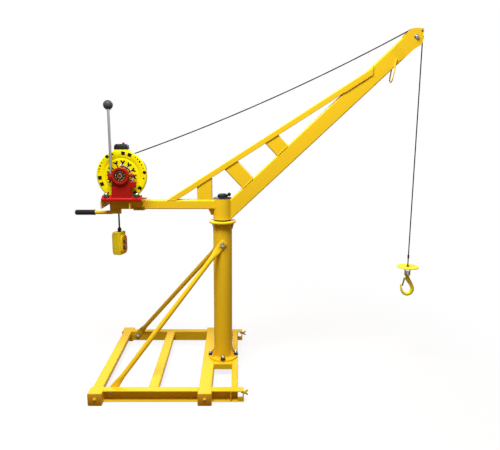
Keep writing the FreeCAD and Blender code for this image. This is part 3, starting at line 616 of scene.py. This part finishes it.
boom_meet = column_x + sqrt(sleeve_radius ** 2 - boom_half ** 2)
boom_meet_z = on_boom((boom_meet - axle.x) / cos(boom_slope), 0).z
boom_meet_half = boom_half_depth / cos(boom_slope) - 4 * mm
boom_meet_low = boom_meet_z - boom_meet_half
boom_meet_high = boom_meet_z + boom_meet_half
for y in (-boom_half, boom_half):
    jib_seams += [weld((boom_meet, y, boom_meet_low), (boom_meet, y, boom_meet_high)),
                  weld((post_low.x + corner_gap, y, arm_top), (post_high.x - corner_gap, y, arm_top))]
    for station in (224.4 * mm, 472.4 * mm):
        along = station - boom_length
        jib_seams.append(weld(on_boom(along - post_half + corner_gap, boom_half_depth, y),
                              on_boom(along + post_half - corner_gap, boom_half_depth, y)))
for x in (post_low.x, post_high.x):
    jib_seams.append(weld((x, -boom_half + corner_gap, arm_top), (x, boom_half - corner_gap, arm_top)))
for y in (chord_low.y + 1 * mm, chord_high.y - 1 * mm):
    jib_seams.append(weld((chord_low.x + 2 * mm, y, arm_top), (chord_low.x + 46 * mm, y, arm_top)))
chord_start = Vector((column_x - 282 * mm, 0, arm_top + 8 * mm))
chord_meet = on_boom(-291 * mm, boom_half_depth)
chord_line = (chord_meet - chord_start).normalized()
chord_edge = chord_start + Vector((chord_line.z, 0, -chord_line.x)) * chord_depth
chord_tip = chord_meet + Vector((chord_lap, 0, chord_depth))
lap_length = chord_depth / tan(boom_slope - atan2(chord_line.z, chord_line.x))
lap_start = chord_edge + chord_line * ((chord_meet - chord_start).length - lap_length)
lap_end = chord_edge + chord_line * ((chord_meet.x + chord_lap - chord_edge.x) / chord_line.x)
for aside in (front * lap_half, back * lap_half):
    jib_seams += [weld(lap_start + aside, lap_end + aside, 1.3),
                  weld(lap_end + aside, chord_tip + aside, 1.3)]
piece("jib_welds", [tubes(jib_seams, bead_radius)], paint, "jib")

# Boom head: two cheek plates, welded on behind tapered fillers, carry the grooved iron pulley on a long
# bolt with washers.  A loop of thin rod, welded to the boom, takes the rope's end for a second fall.
dress(paint, "head_cheek_front", "head_cheek_rear", "dead_end_loop")
brown_steel = surface("greased_iron", (0.115, 0.052, 0.022), (0.060, 0.030, 0.016), 0.42, metallic=0.5,
                      drift=45, grain=420, depth=0.05)
dress(brown_steel, "pulley")
cheek_face = -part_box("head_cheek_front")[0].y
cheek_start = -95 * mm
filler_length = 45 * mm
filler_half = 38 * mm
filler_root = boom_half - 0.2 * mm
bolt_reach = cheek_face / mm
bolt_parts = [lathe([(0, -bolt_reach - 2), (7.9, -bolt_reach - 2), (7.9, bolt_reach + 9),
                     (0, bolt_reach + 9)], axle, back, 32)]
pins = []
fillers = []
for side, out in ((-1, front), (1, back)):
    bolt_parts += nut(axle + out * cheek_face, out, radius=9.5, height=7, washer_radius=11.5,
                      washer_height=2, hole=7.9)
    pins.append(lathe([(0, -4), (5.2, -4), (5.2, 1), (4, 1.8), (0, 1.8)],
                      on_boom(38.7 * mm, 1 * mm, side * cheek_face), out, 24))
    filler = block((cheek_start - filler_length, boom_half - 1 * mm, -filler_half),
                   (cheek_start + 1 * mm, cheek_face, filler_half))
    thin_end = [vert for vert in filler.verts if vert.co.x < cheek_start - 1 * mm]
    bmesh.ops.scale(filler, vec=(1, 0.04, 0.9), verts=thin_end,
                    space=Matrix.Translation(front * filler_root))
    for vert in filler.verts:
        vert.co = on_boom(vert.co.x, vert.co.z, side * vert.co.y)
    bmesh.ops.recalc_face_normals(filler, faces=filler.faces)
    fillers.append(filler)
bolt_parts.append(lathe([*bulge(8.5, 5, 0, 90), (0, 5)], axle + front * (cheek_face + 8.5 * mm), front, 32))
piece("pulley_bolt", bolt_parts, zinc_painted_reflections, "jib", "pulley_axle")
piece("cheek_pins", pins, dark_steel, "jib")
piece("cheek_feathers", fillers, paint, "jib")
loop_low, loop_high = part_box("dead_end_loop")
loop_seams = []
for y in (loop_low.y + 3 * mm, loop_high.y - 3 * mm):
    loop_seams.append(weld((loop_high.x - 3 * mm, y, loop_high.z - 2 * mm),
                           (loop_high.x - 9 * mm, y, loop_high.z - 32 * mm), 0.8))
piece("head_welds", [tubes(loop_seams, bead_radius)], paint, "jib")

# Winch platform: an inverted channel across the arm with a short box beside it on each side, welded and
# painted.  The push handle is a painted rod under the arm, with a rubber grip slid over its end.
dress(paint, "winch_platform", "push_handle")
rubber = surface("black_rubber", (0.008, 0.008, 0.008), (0.013, 0.013, 0.012), 0.62,
                 drift=30, grain=1100, depth=0.08)
grip_low, grip_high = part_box("handle_grip")
grip_place = (grip_low + grip_high) / 2
grip_place.x = grip_low.x
grip_radius = (grip_high.z - grip_low.z) / 2 / mm
grip_length = (grip_high.x - grip_low.x) / mm
grip_round = 9
rib_count = 9
grip_outline = [(0, 0)]
for across, rise in bulge(grip_round, grip_round):
    grip_outline.append((grip_radius - grip_round + rise, grip_round - across))
for rib in range(rib_count):
    at = 26 + 6 * rib
    grip_outline += [(grip_radius, at), (grip_radius - 0.7, at + 0.8), (grip_radius - 0.7, at + 1.8),
                     (grip_radius, at + 2.6)]
grip_outline += [(grip_radius, grip_length - 6), (grip_radius + 1.2, grip_length - 4.5),
                 (grip_radius + 1.2, grip_length - 1), (grip_radius, grip_length), (10.2, grip_length)]
piece("rubber_grip", [lathe(grip_outline, grip_place, (1, 0, 0), 40)], rubber, "jib", "handle_grip")
platform_low, platform_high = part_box("winch_platform")
web_x = platform_low.x + 8 * mm
stub_left = -391 * mm
stub_right = -335 * mm
stub_reach = 52 * mm
platform_seams = []
for y, stub_y in ((-arm_half, -stub_reach), (arm_half, stub_reach)):
    seam_y = 1.02 * y
    seam_z = arm_bottom + 1 * mm
    platform_seams += [
        weld((web_x, y, platform_low.z + 2 * mm), (web_x, y, arm_top - 3 * mm)),
        weld((stub_left, seam_y, seam_z), (stub_right, seam_y, seam_z), 0.8),
        weld((stub_left, stub_y, platform_low.z + 3 * mm), (stub_left, stub_y, arm_top - 2 * mm), 0.9),
        weld((stub_left, stub_y, arm_top), (stub_right, stub_y, arm_top), 0.7)]
piece("platform_welds", [tubes(platform_seams, bead_radius)], paint, "jib")

# Winch brackets: two red castings bolted to the platform under domed nuts.  The front one holds the shaft's
# bearing in its boss, an ear for the brake lever and an adjusting stud, under a spring strip with a black
# rubber rod just inside its arc as its painted shadow.
red_paint = surface("casting_red", (0.40, 0.009, 0.004), (0.31, 0.007, 0.003), 0.36, drift=18,
                    depth=0.08)
shaft_low, shaft_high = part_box("winch_shaft")
winch = (shaft_low + shaft_high) / 2
foot_spread = 79 * mm
foot_y = -101 * mm
pad_rise = 23 * mm
dome_rise = 11.8 * mm
platform_top = platform_high.z


def casting(name, extra, voxel):
    """A CAD solid with extra shapes, melted together so that every edge is rounded as cast."""
    shape = bmesh.new()
    shape.from_mesh(frame["nodes"][name].data)
    bmesh.ops.remove_doubles(shape, verts=shape.verts, dist=0.01 * mm)
    return reworked(gathered([shape, *extra]), ("REMESH", {"mode": "VOXEL", "voxel_size": voxel}),
                    ("SMOOTH", {"factor": 0.5, "iterations": 5}))


def spoke(angle):
    """Unit vector at an angle from +X towards +Z."""
    return Vector((cos(angle), 0, sin(angle)))


pads = []
bracket_bolts = []
bracket_nuts = []
for x in (winch.x - foot_spread, winch.x + foot_spread):
    pads.append(lathe([(0, 0), (16, 0), (15, 21), (0, 21)], (x, foot_y, platform_top + 2 * mm), up, 32))
    seat = Vector((x, foot_y, platform_top + pad_rise))
    bracket_nuts += nut(seat, up, radius=14, height=9, washer_radius=16, washer_height=3, hole=7)
    bracket_bolts.append(lathe([(0, 0), *bulge(13, 9, 0, 90), (0, 9)], seat + up * dome_rise, up, 32))
front_casting = casting("bracket_front", pads, voxel=1.7 * mm)
rear_casting = casting("bracket_rear", [], voxel=2 * mm)
piece("bracket_casting", [front_casting], red_paint, "jib", "bracket_front")
piece("rear_bracket_casting", [rear_casting], red_paint, "jib", "bracket_rear")
stud_foot = Vector((winch.x + 58 * mm, -103 * mm, winch.z - 30 * mm))
stud_nut = stud_foot + up * 37.5 * mm
bracket_bolts += [thread(stud_foot, up, radius=5.5, length=36), hexagon(stud_foot, up, radius=9, height=6),
                  hexagon(stud_nut, up, radius=8, height=5)]
piece("bracket_bolts", bracket_bolts, zinc_painted_reflections, "jib")
piece("bracket_nuts", bracket_nuts, dark_steel, "jib")

spring_steel = surface("spring_steel", (0.62, 0.62, 0.62), (0.40, 0.40, 0.41), 0.22,
                       metallic=1, drift=60, grain=700, depth=0.01)
strip_radius = 59 * mm
shadow_rod_radius = 54.5 * mm
strip_half = 2.6 * mm
strip_turn = radians(66)
strip_steps = 24
strip_middle = Vector((winch.x, -99 * mm, winch.z - 6 * mm))


def strip_path(radius):
    """Arc over the right of the boss, from its top."""
    turns = [pi / 2 - strip_turn * step / strip_steps for step in range(strip_steps + 1)]
    return [(strip_middle + spoke(turn) * radius, 1) for turn in turns]


strip = strip_path(strip_radius)
# A black rubber rod just inside the strip's arc is painted shadow under the strip.
piece("spring_strip_painted_shadow", [tubes([strip_path(shadow_rod_radius)], strip_half, 2)], rubber, "jib")
spring_end = sphere(strip[0][0], radius=5, around=20, rings=12)
piece("brake_spring", [tubes([strip], strip_half, 3), spring_end], spring_steel, "jib")

copper = surface("bronze_bush", (0.46, 0.21, 0.08), (0.05, 0.022, 0.010), 0.30, metallic=1,
                 drift=130, grain=600, depth=0.05, spread=0.3)
dress(dark_steel, "winch_shaft")
shaft_end = Vector((winch.x, shaft_low.y, winch.z))
bearing = shaft_end + back * 6 * mm
ball_count = 9
ball_circle = 23 * mm
first_ball = radians(12)
races = [lathe([(25, 0), (30, 0), (30, 8), (26.5, 9.5), (25, 9), (25, 0)], bearing, front, 64),
         ring(bearing, front, inner=18.2, outer=21, low=0, high=8),
         lathe([(4, 0), (4, 3), (15, 3), (17.5, 1), (17.5, 0), (4, 0)], shaft_end, front)]
piece("bearing_races", races, grease, "jib")
cage = [ring(bearing, front, inner=21, outer=25, low=0, high=4),
        lathe([(5, 0), (14, 0), (13, 1.2), (6, 1.2), (5, 0)], shaft_end + front * 3 * mm, front, 40)]
for count in range(ball_count):
    angle = 2 * pi * count / ball_count + first_ball
    place = shaft_end + back * 1 * mm + spoke(angle) * ball_circle
    cage.append(sphere(place, radius=4.2, around=16, rings=10))
piece("bearing_cage", cage, copper, "jib")

# Winch cover: a cast disc sprayed lemon yellow, with a rounded rim.  Twelve forked slots ventilate it, and
# its rim has deep square and round pockets in three like groups; a near-black sheet down in each is painted
# shade.
lemon = surface("cover_lemon", (0.88, 0.78, 0.004), (0.83, 0.70, 0.003), 0.36, drift=14,
                grain=260, depth=0.06, specular=0.05)
pocket_painted_shade = surface("pocket_shade_black", (0.006, 0.006, 0.006), (0.012, 0.011, 0.010), 0.55,
                     drift=60, grain=500, depth=0.05)
cover_low, cover_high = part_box("winch_cover")
rim_x = (cover_high.x - cover_low.x) / 2 / mm
face = (cover_high.y - cover_low.y) / mm
rim_round = 7
slot_count = 12
slot_start = 83
pocket_depth = 6
cutter_proud = 4
shade_sheet_depth = 3
front_turn = Matrix.Rotation(radians(90), 4, "X")
rim = bulge(rim_round, rim_round, middle=rim_x - rim_round, base=face - rim_round)
cover = lathe([(19, 0), (rim_x, 0), *rim, (93, face), (90, face - 1.6), (87, face - 1.6), (84, face),
               (76, face - 0.6), (30, face - 3), (19, face - 3), (19, 0)],
              (winch.x, cover_high.y, winch.z), front, 120)


def prism(corners, run):
    """Closed shape that a flat outline sweeps along a straight run."""
    shape = bmesh.new()
    flat = shape.faces.new([shape.verts.new(corner) for corner in corners])
    grown = bmesh.ops.extrude_face_region(shape, geom=[flat])["geom"]
    moved = [item for item in grown if isinstance(item, bmesh.types.BMVert)]
    bmesh.ops.translate(shape, verts=moved, vec=run)
    bmesh.ops.recalc_face_normals(shape, faces=shape.faces)
    return shape


def pocket(outline, radius, angle, depth, lift):
    """Prism in the cover's face, in millimetres: drawn out along +X, then set at a radius and an angle."""
    shape = prism([(x * mm, y * mm, 0) for x, y in outline], up * depth * mm)
    shape.transform(Matrix.Translation((winch.x, cover_low.y + lift * mm, winch.z)) @ front_turn
                    @ Matrix.Rotation(radians(angle), 4, "Z") @ Matrix.Translation((radius * mm, 0, 0)))
    return shape


def disc(radius, points=16):
    """Corners of a round pocket."""
    angles = [2 * pi * step / points for step in range(points)]
    return [(radius * cos(angle), radius * sin(angle)) for angle in angles]


fork = [(-28, -3), (0, -3.2), (8, -9.5), (16, -13), (19, -7), (12, -1), (12, 1), (19, 7), (16, 13),
        (8, 9.5), (0, 3.2), (-28, 3)]
square = [(10, 10), (-10, 10), (-10, -10), (10, -10)]
pockets = [(fork, 59, slot_start + 360 / slot_count * turn) for turn in range(slot_count)]
for third in (0, 120, 240):
    pockets += [(square, 113, 84 + third), (square, 113, 66.6 + third), (disc(9.5), 119, 126.6 + third),
                (disc(4.5), 115, 111.6 + third)]
    for dot, size in ((18, 3), (27, 4), (36, 5.4), (44, 4.5), (51, 3.4)):
        pockets.append((disc(size, 10), 118, dot + third))
cutters = [pocket(*hole, pocket_depth + cutter_proud, pocket_depth) for hole in pockets]
# Near-black sheets down in the slots and pockets are painted shade for their depth.
shade_sheets = [pocket(*hole, shade_sheet_depth, pocket_depth + 1) for hole in pockets]
piece("cover_casting", [carved(cover, gathered(cutters))], lemon, "jib", "winch_cover")
piece("pocket_shade_sheets", shade_sheets, pocket_painted_shade, "jib")

# Gear case, drum and motor: a cast case sprayed to match the cover and bolted up behind it, a flanged steel
# drum, and a finned cast aluminium motor with a moulded fan cowl at the back.
aluminium = surface("cast_aluminium", (0.42, 0.43, 0.44), (0.30, 0.31, 0.32), 0.46,
                    metallic=0.9, drift=30, grain=350, depth=0.10)
dress(lemon, "gear_case")
dress(dark_steel, "drum")
case_back = Vector((winch.x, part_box("gear_case")[1].y, winch.z))
case_bolt_count = 8
case_bolt_circle = 114 * mm
case_bolts = []
for count in range(case_bolt_count):
    angle = 2 * pi * (count + 0.5) / case_bolt_count
    case_bolts.append(hexagon(case_back + spoke(angle) * case_bolt_circle, back, radius=7, height=5))
piece("case_bolts", case_bolts, zinc_painted_reflections, "jib")

motor_low, motor_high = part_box("motor")
motor_radius = (motor_high.x - motor_low.x) / 2 / mm
body_radius = motor_radius - 11
cowl_length = 52
body_length = (motor_high.y - motor_low.y) / mm - cowl_length
fin_count = 30
fin_half = 1.5 * mm
cowl_grooves = 5
motor_parts = [lathe([(0, 0), (motor_radius - 3, 0), (motor_radius - 3, 14), (body_radius, 18),
                      (body_radius, body_length - 4), (motor_radius - 6, body_length), (0, body_length)],
                     (winch.x, motor_low.y, winch.z), back, 64)]
for count in range(fin_count):
    fin = eased(block(((body_radius - 2) * mm, motor_low.y + 12 * mm, -fin_half),
                      ((motor_radius - 1) * mm, motor_low.y + body_length * mm, fin_half)), 0.6, 1)
    turn = Matrix.Rotation(2 * pi * count / fin_count, 4, "Y")
    fin.transform(Matrix.Translation((winch.x, 0, winch.z)) @ turn)
    motor_parts.append(fin)
piece("motor_housing", motor_parts, aluminium, "jib", "motor")
cowl_face = cowl_length - 1
cowl_outline = [(motor_radius - 8, 0), (motor_radius - 2, 0), (motor_radius - 2, cowl_length - 12),
                (motor_radius - 12, cowl_face)]
for groove in range(cowl_grooves):
    edge = motor_radius - 18 - 11 * groove
    cowl_outline += [(edge + 5, cowl_face), (edge + 5, cowl_face - 6), (edge, cowl_face - 6),
                     (edge, cowl_face)]
cowl_place = (winch.x, motor_high.y - cowl_length * mm, winch.z)
piece("fan_cowl", [lathe([*cowl_outline, (0, cowl_face)], cowl_place, back, 64)], black_plastic, "jib")

# Rope: six dark wire strands laid up in one wire rope.  It is wound on the drum, runs slightly slack to the
# pulley and over it, and drops to the hook.
rope_dark = surface("wire_rope", (0.010, 0.010, 0.010), (0.022, 0.021, 0.020), 0.6, drift=300,
                    grain=1500, depth=0.05)
rope_radius = 2.9 * mm
strand_radius = 1.3 * mm
strand_circle = 2 * mm
strand_count = 6
lay_length = 34 * mm
lay_steps = 9
turn_radius = 84 * mm
pulley_rope = 42.75 * mm
rope_sag = 33 * mm
coil_reach = 26 * mm
coil_turns = 9
coil_points = 40
drum_middle = Vector((winch.x, 0, winch.z))
fall_low, fall_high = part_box("rope_fall")
fall_x = (fall_low.x + fall_high.x) / 2
fall_length = fall_high.z - fall_low.z


def laid_strands(route):
    """Strands wound round a route, which is a list of evenly spaced points in an upright plane along X."""
    strands = [[] for strand in range(strand_count)]
    for index, place in enumerate(route):
        heading = (route[min(index + 1, len(route) - 1)] - route[max(index - 1, 0)]).normalized()
        upward = heading.cross(back)
        for count, strand in enumerate(strands):
            angle = 2 * pi * (index / lay_steps + count / strand_count)
            strand.append((place + (back * cos(angle) + upward * sin(angle)) * strand_circle, 1))
    return tubes(strands, strand_radius, 0)


def arc_points(middle, radius, start, end):
    """Points about one strand step apart on an arc in the XZ plane, with angles from +X towards +Z."""
    steps = max(2, round(abs(end - start) * radius * lay_steps / lay_length))
    return [middle + spoke(start + (end - start) * step / steps) * radius for step in range(steps + 1)]


def upright_points(start, rise):
    """Points about one strand step apart on the fall's line, from a height."""
    steps = round(abs(rise) * lay_steps / lay_length)
    return [Vector((fall_x, 0, start + rise * step / steps)) for step in range(steps + 1)]


# Each round brings the slack's ends nearer to where it leaves the drum and meets the pulley.
leave = 0
arrive = 0
for _ in range(12):
    rope_start = drum_middle + spoke(leave + pi / 2) * turn_radius
    rope_end = axle + spoke(arrive + pi / 2) * pulley_rope
    span = rope_end - rope_start
    rise = atan2(span.z, span.x)
    half_bend = 2 * atan(2 * rope_sag / span.length)
    leave = rise - half_bend
    arrive = rise + half_bend
slack_radius = span.length / (2 * sin(half_bend))
slack_middle = rope_start + spoke(leave + pi / 2) * slack_radius
slack = arc_points(slack_middle, slack_radius, leave - pi / 2, arrive - pi / 2)
wrap = arc_points(axle, pulley_rope, arrive + pi / 2, 0)
piece("rope_to_pulley", [laid_strands(slack[:-1] + wrap)], rope_dark, "jib", "rope_run")
fall_strands = laid_strands(upright_points(fall_high.z, -fall_length))
fall = piece("rope_to_hook", [fall_strands], rope_dark, "jib", "rope_fall")
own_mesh(fall)
coil = []
for step in range(coil_turns * coil_points + 1):
    along = -coil_reach + 2 * coil_reach * step / (coil_turns * coil_points)
    coil.append((drum_middle + spoke(2 * pi * step / coil_points) * turn_radius + back * along, 1))
core = ring(drum_middle, back, inner=60.5, outer=82, low=-30, high=30, steps=64)
piece("wound_rope", [tubes([coil], rope_radius), core], rope_dark, "jib", "rope_coil")

# Control box: a black moulded box with a chamfered lid and a seam, standing on the gear case's pad.  Its
# stop button is a red moulded mushroom on a short collar.
box_low, box_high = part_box("control_box")
box_seam = box_low.z + 16 * mm
seam_half = 0.6 * mm
screw_inset = 12 * mm


def box_layer(inset, bottom, top):
    """Level slice of the control box, set in from its sides."""
    return block((box_low.x + inset, box_low.y + inset, bottom),
                 (box_high.x - inset, box_high.y - inset, top))


lower_box = eased(box_layer(0, box_low.z, box_seam - seam_half), radius=2.5, segments=3)
seam_strip = box_layer(1.5 * mm, box_seam - 3 * mm, box_seam + 3 * mm)
lid = box_layer(1 * mm, box_seam + seam_half, box_high.z)
lid_rim = [edge for edge in lid.edges if min(vert.co.z for vert in edge.verts) > box_high.z - 1 * mm]
bevelled(lid, lid_rim, radius=8, segments=1)
eased(lid, radius=1.2)
piece("control_box_moulding", [lower_box, seam_strip, lid], black_plastic, "jib", "control_box")
box_screws = []
for x in (box_low.x + screw_inset, box_high.x - screw_inset):
    for y in (box_low.y + screw_inset, box_high.y - screw_inset):
        box_screws.append(lathe([(0, 0.8), (1.4, 0.8), (1.4, 1.6), (3, 1.2), (3.4, 0), (0, 0)],
                                (x, y, box_high.z - 0.2 * mm), up, 16))
piece("control_box_screws", box_screws, zinc_painted_reflections, "jib")
red_plastic = surface("red_moulding", (0.62, 0.022, 0.020), (0.52, 0.016, 0.014), 0.25,
                      drift=50, grain=700, depth=0.02)
button_low, button_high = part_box("stop_button")
button_place = (button_low + button_high) / 2
button_place.z = button_low.z
button_radius = (button_high.x - button_low.x) / 2 / mm
button_side = 4.5
button_rise = (button_high.z - button_low.z) / mm - button_side
mushroom = [(0, 0), (5, 0), (5, 2.6), (button_radius, 3.2),
            *bulge(button_radius, button_rise, base=button_side)]
piece("stop_mushroom", [lathe(mushroom, button_place, up, 40)], red_plastic, "jib", "stop_button")

# Brake lever: a chromed round rod with a drilled eye on the bracket's pin, and a polished black ball
# screwed to its top.
# The chrome's long dark streaks along the rod are painted reflections.
chrome_painted_streaks = surface("bright_chrome", (0.52, 0.52, 0.54), (0.06, 0.06, 0.065), 0.16,
                 metallic=1, drift=80, grain=500, depth=0.01, stretch=(1, 1, 0.01), spread=0.22)
black_gloss = surface("polished_black", (0.035, 0.035, 0.035), (0.060, 0.060, 0.060), 0.40,
                      drift=90, grain=400, depth=0.01)
lever_axis = [joint for joint in frame["joints"] if joint["name"] == "brake_lever"][0]["pos_m"]
rod_top = (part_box("brake_lever")[1].z - lever_axis[2]) / mm
rod = lathe([(0, 7), (5.6, 7), (7, 20), (7, rod_top - 9), (12, rod_top - 8), (12, rod_top - 1),
             (7, rod_top), (0, rod_top)], lever_axis, up, 40)
eye = ring(lever_axis, back, inner=5.1, outer=10, low=-5.8, high=5.8, steps=40)
piece("lever_rod", [eased(rod, 0.5), eased(eye, 0.8)], chrome_painted_streaks, "lever", "brake_lever")
knob_low, knob_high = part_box("lever_knob")
knob_radius = (knob_high.x - knob_low.x) / 2 / mm
knob_foot = -0.94 * knob_radius
knob_outline = [(0, knob_foot), (8.4, knob_foot), *bulge(knob_radius, knob_radius, -70, 90, 10),
                (0, knob_radius)]
knob_place = (lever_axis[0], lever_axis[1], knob_high.z - knob_radius * mm)
piece("ball_knob", [lathe(knob_outline, knob_place, up)], black_gloss, "lever", "lever_knob")

# Hook block: the rope ends in a pressed ferrule and a socket under a thin yellow disc, which a flat strap
# hangs from.  The forged hook swivels in the strap on its nut and has a sprung steel latch.
disc_paint = surface("hook_yellow", (0.92, 0.82, 0.012), (0.88, 0.74, 0.010), 0.36, drift=20, grain=400,
                     depth=0.03, specular=0.05)
# The forging takes a lighter version of the disc's yellow, which is painted light against the disc's shade
# over it.
hook_painted_light = surface("forging_painted_light", (0.97, 0.88, 0.03), (0.93, 0.80, 0.02), 0.34,
                     drift=26, depth=0.06, specular=0.05)
dress(rope_dark, "rope_end")
dress(disc_paint, "hook_strap")
dress(zinc_painted_reflections, "swivel_nut")
dress(dark_steel, "hook_latch")
strap_low, strap_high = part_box("hook_strap")
tail_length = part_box("rope_end")[1].z - strap_high.z - 10 * mm
tail = laid_strands(upright_points(strap_high.z, tail_length))
tail_seat = lathe([(0, 0), (7.5, 0), (3.4, 9), (0, 9)], (fall_x, 0, strap_high.z), up, 24)
piece("rope_tail", [tail, tail_seat], rope_dark, "hook_block")
shoulder_radius = 10 * mm
shoulder = []
for x, z, factor in ((3, -10, 0.9), (7, -22, 1), (15, -36, 1), (23, -50, 1), (29, -64, 1)):
    shoulder.append((Vector((fall_x + x * mm, 0, strap_low.z + z * mm)), factor))
forging = casting("hook", [tubes([shoulder], shoulder_radius, 4)], voxel=1.15 * mm)
piece("hook_forging", [forging], hook_painted_light, "hook", "hook")

# Pendant: a short black cable from under the arm, a moulded gland, and a yellow two-shell control box with
# a raised panel of two buttons, turned a little towards the front.
cord_low, cord_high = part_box("pendant_cord")
cord_x = (cord_low.x + cord_high.x) / 2
cord_diameter = 9 * mm
gland_low, gland_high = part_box("pendant_gland")
cord_end = gland_low.z - 15 * mm
cord_middle = (cord_high.z + cord_low.z) / 2
cord_points = [(cord_x, 0, z) for z in (cord_high.z, cord_middle, cord_low.z, cord_end)]
cable = rod_curve("pendant_cable", cord_diameter / 2, 4)
line = cable.splines.new("NURBS")
line.points.add(len(cord_points) - 1)
for point, place in zip(line.points, cord_points):
    point.co = (*place, 1)
line.order_u = 3
line.use_endpoint_u = True
cable.materials.append(rubber)
cable_piece = placed("pendant_cable", cable)
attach(cable_piece, "jib")
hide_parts("pendant_cord")

gland_top = (gland_high.z - gland_low.z) / mm
gland = lathe([(0, 0), (10, 0), (10, 3), (8, 4), (10.4, 8), (11, 12), (10, 16.5), (7.6, 19.5),
               (6, gland_top), (4, gland_top), (0, gland_top)], (cord_x, 0, gland_low.z), up, 32)
gland_piece = piece("cable_gland", [gland], black_plastic, "jib", "pendant_gland")

# The shells' yellow is set lighter as painted light, to offset the platform's shade over the pendant.
pendant_painted_light = surface("pendant_yellow_painted_light", (0.94, 0.76, 0.020), (0.90, 0.70, 0.018), 0.38,
                         drift=22, grain=700, depth=0.02, specular=0.05)
# The panel's face takes a deeper orange version of the pendant's yellow, which is painted shade for the
# side turned from the lamp.
panel_painted_shade = surface("pendant_panel", (0.80, 0.34, 0.010), (0.74, 0.30, 0.008), 0.40,
                        drift=22, grain=700, depth=0.02, specular=0.05)
grey_plastic = surface("button_grey", (0.34, 0.33, 0.32), (0.26, 0.25, 0.24), 0.40,
                       drift=40, grain=700, depth=0.03)
pendant_low, pendant_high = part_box("pendant")
pendant_turn = Matrix.Translation((cord_x, 0, 0)) @ Matrix.Rotation(radians(-20), 4, "Z")
bottom = pendant_low.z
top = pendant_high.z
half_width = 31 * mm
back_x = -30.5 * mm
seam_x = -6 * mm
seam_gap = 0.4 * mm
gasket_inset = 0.8 * mm
face_x = 17.5 * mm
panel_x = 30.5 * mm
panel_half = 25 * mm
panel_low = bottom + 8 * mm
panel_high = top - 17 * mm
panel_middle = (panel_low + panel_high) / 2
panel_rim = 1.5 * mm
end_taper = 6 * mm
end_slope = 17 * mm


def shell(outline):
    """Half of a moulded case: an upright outline in X and Z, as wide as the pendant."""
    return eased(prism([(x, -half_width, z) for x, z in outline], back * 2 * half_width), 2.5, 3)


def rounded_panel(x0, x1, inset, corner):
    """Upright plate with rounded corners that faces +X, set in from the panel's edge."""
    panel = block((x0, inset - panel_half, panel_low + inset), (x1, panel_half - inset, panel_high - inset))
    edges = [edge for edge in panel.edges if abs(edge.verts[0].co.x - edge.verts[1].co.x) > 0.1 * mm]
    return eased(bevelled(panel, edges, corner, 8), 0.9)


back_shell = shell([(seam_x - seam_gap, bottom), (seam_x - seam_gap, top), (back_x + end_taper, top),
                    (back_x, top - end_slope), (back_x, bottom + end_slope), (back_x + end_taper, bottom)])
front_shell = shell([(seam_x + seam_gap, bottom), (face_x, bottom), (face_x, top),
                     (seam_x + seam_gap, top)])
gasket = block((seam_x - 3 * mm, gasket_inset - half_width, bottom + gasket_inset),
               (seam_x + 3 * mm, half_width - gasket_inset, top - gasket_inset))
panel_wall = rounded_panel(face_x - 3 * mm, panel_x - 0.6 * mm, inset=0, corner=22)
panel_face = rounded_panel(panel_x - 2 * mm, panel_x, inset=panel_rim, corner=20.5)
bezels = []
buttons = []
for z in (panel_middle - 17 * mm, panel_middle + 15 * mm):
    bezels.append(eased(block((panel_x - 1 * mm, -15 * mm, z - 10 * mm),
                              (panel_x + 1.6 * mm, 15 * mm, z + 10 * mm)), 1))
    buttons.append(eased(block((panel_x, -3 * mm, z - 7.5 * mm),
                               (panel_x + 3.4 * mm, 12.5 * mm, z + 7.5 * mm)), 1))
shells = [back_shell, front_shell, gasket, panel_wall]
for name, shapes, material in (("pendant_shells", shells, pendant_painted_light),
                               ("pendant_panel", [panel_face], panel_painted_shade),
                               ("pendant_bezels", bezels, black_plastic),
                               ("pendant_buttons", buttons, grey_plastic)):
    for shape in shapes:
        shape.transform(pendant_turn)
    piece(name, shapes, material, "jib")
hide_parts("pendant")
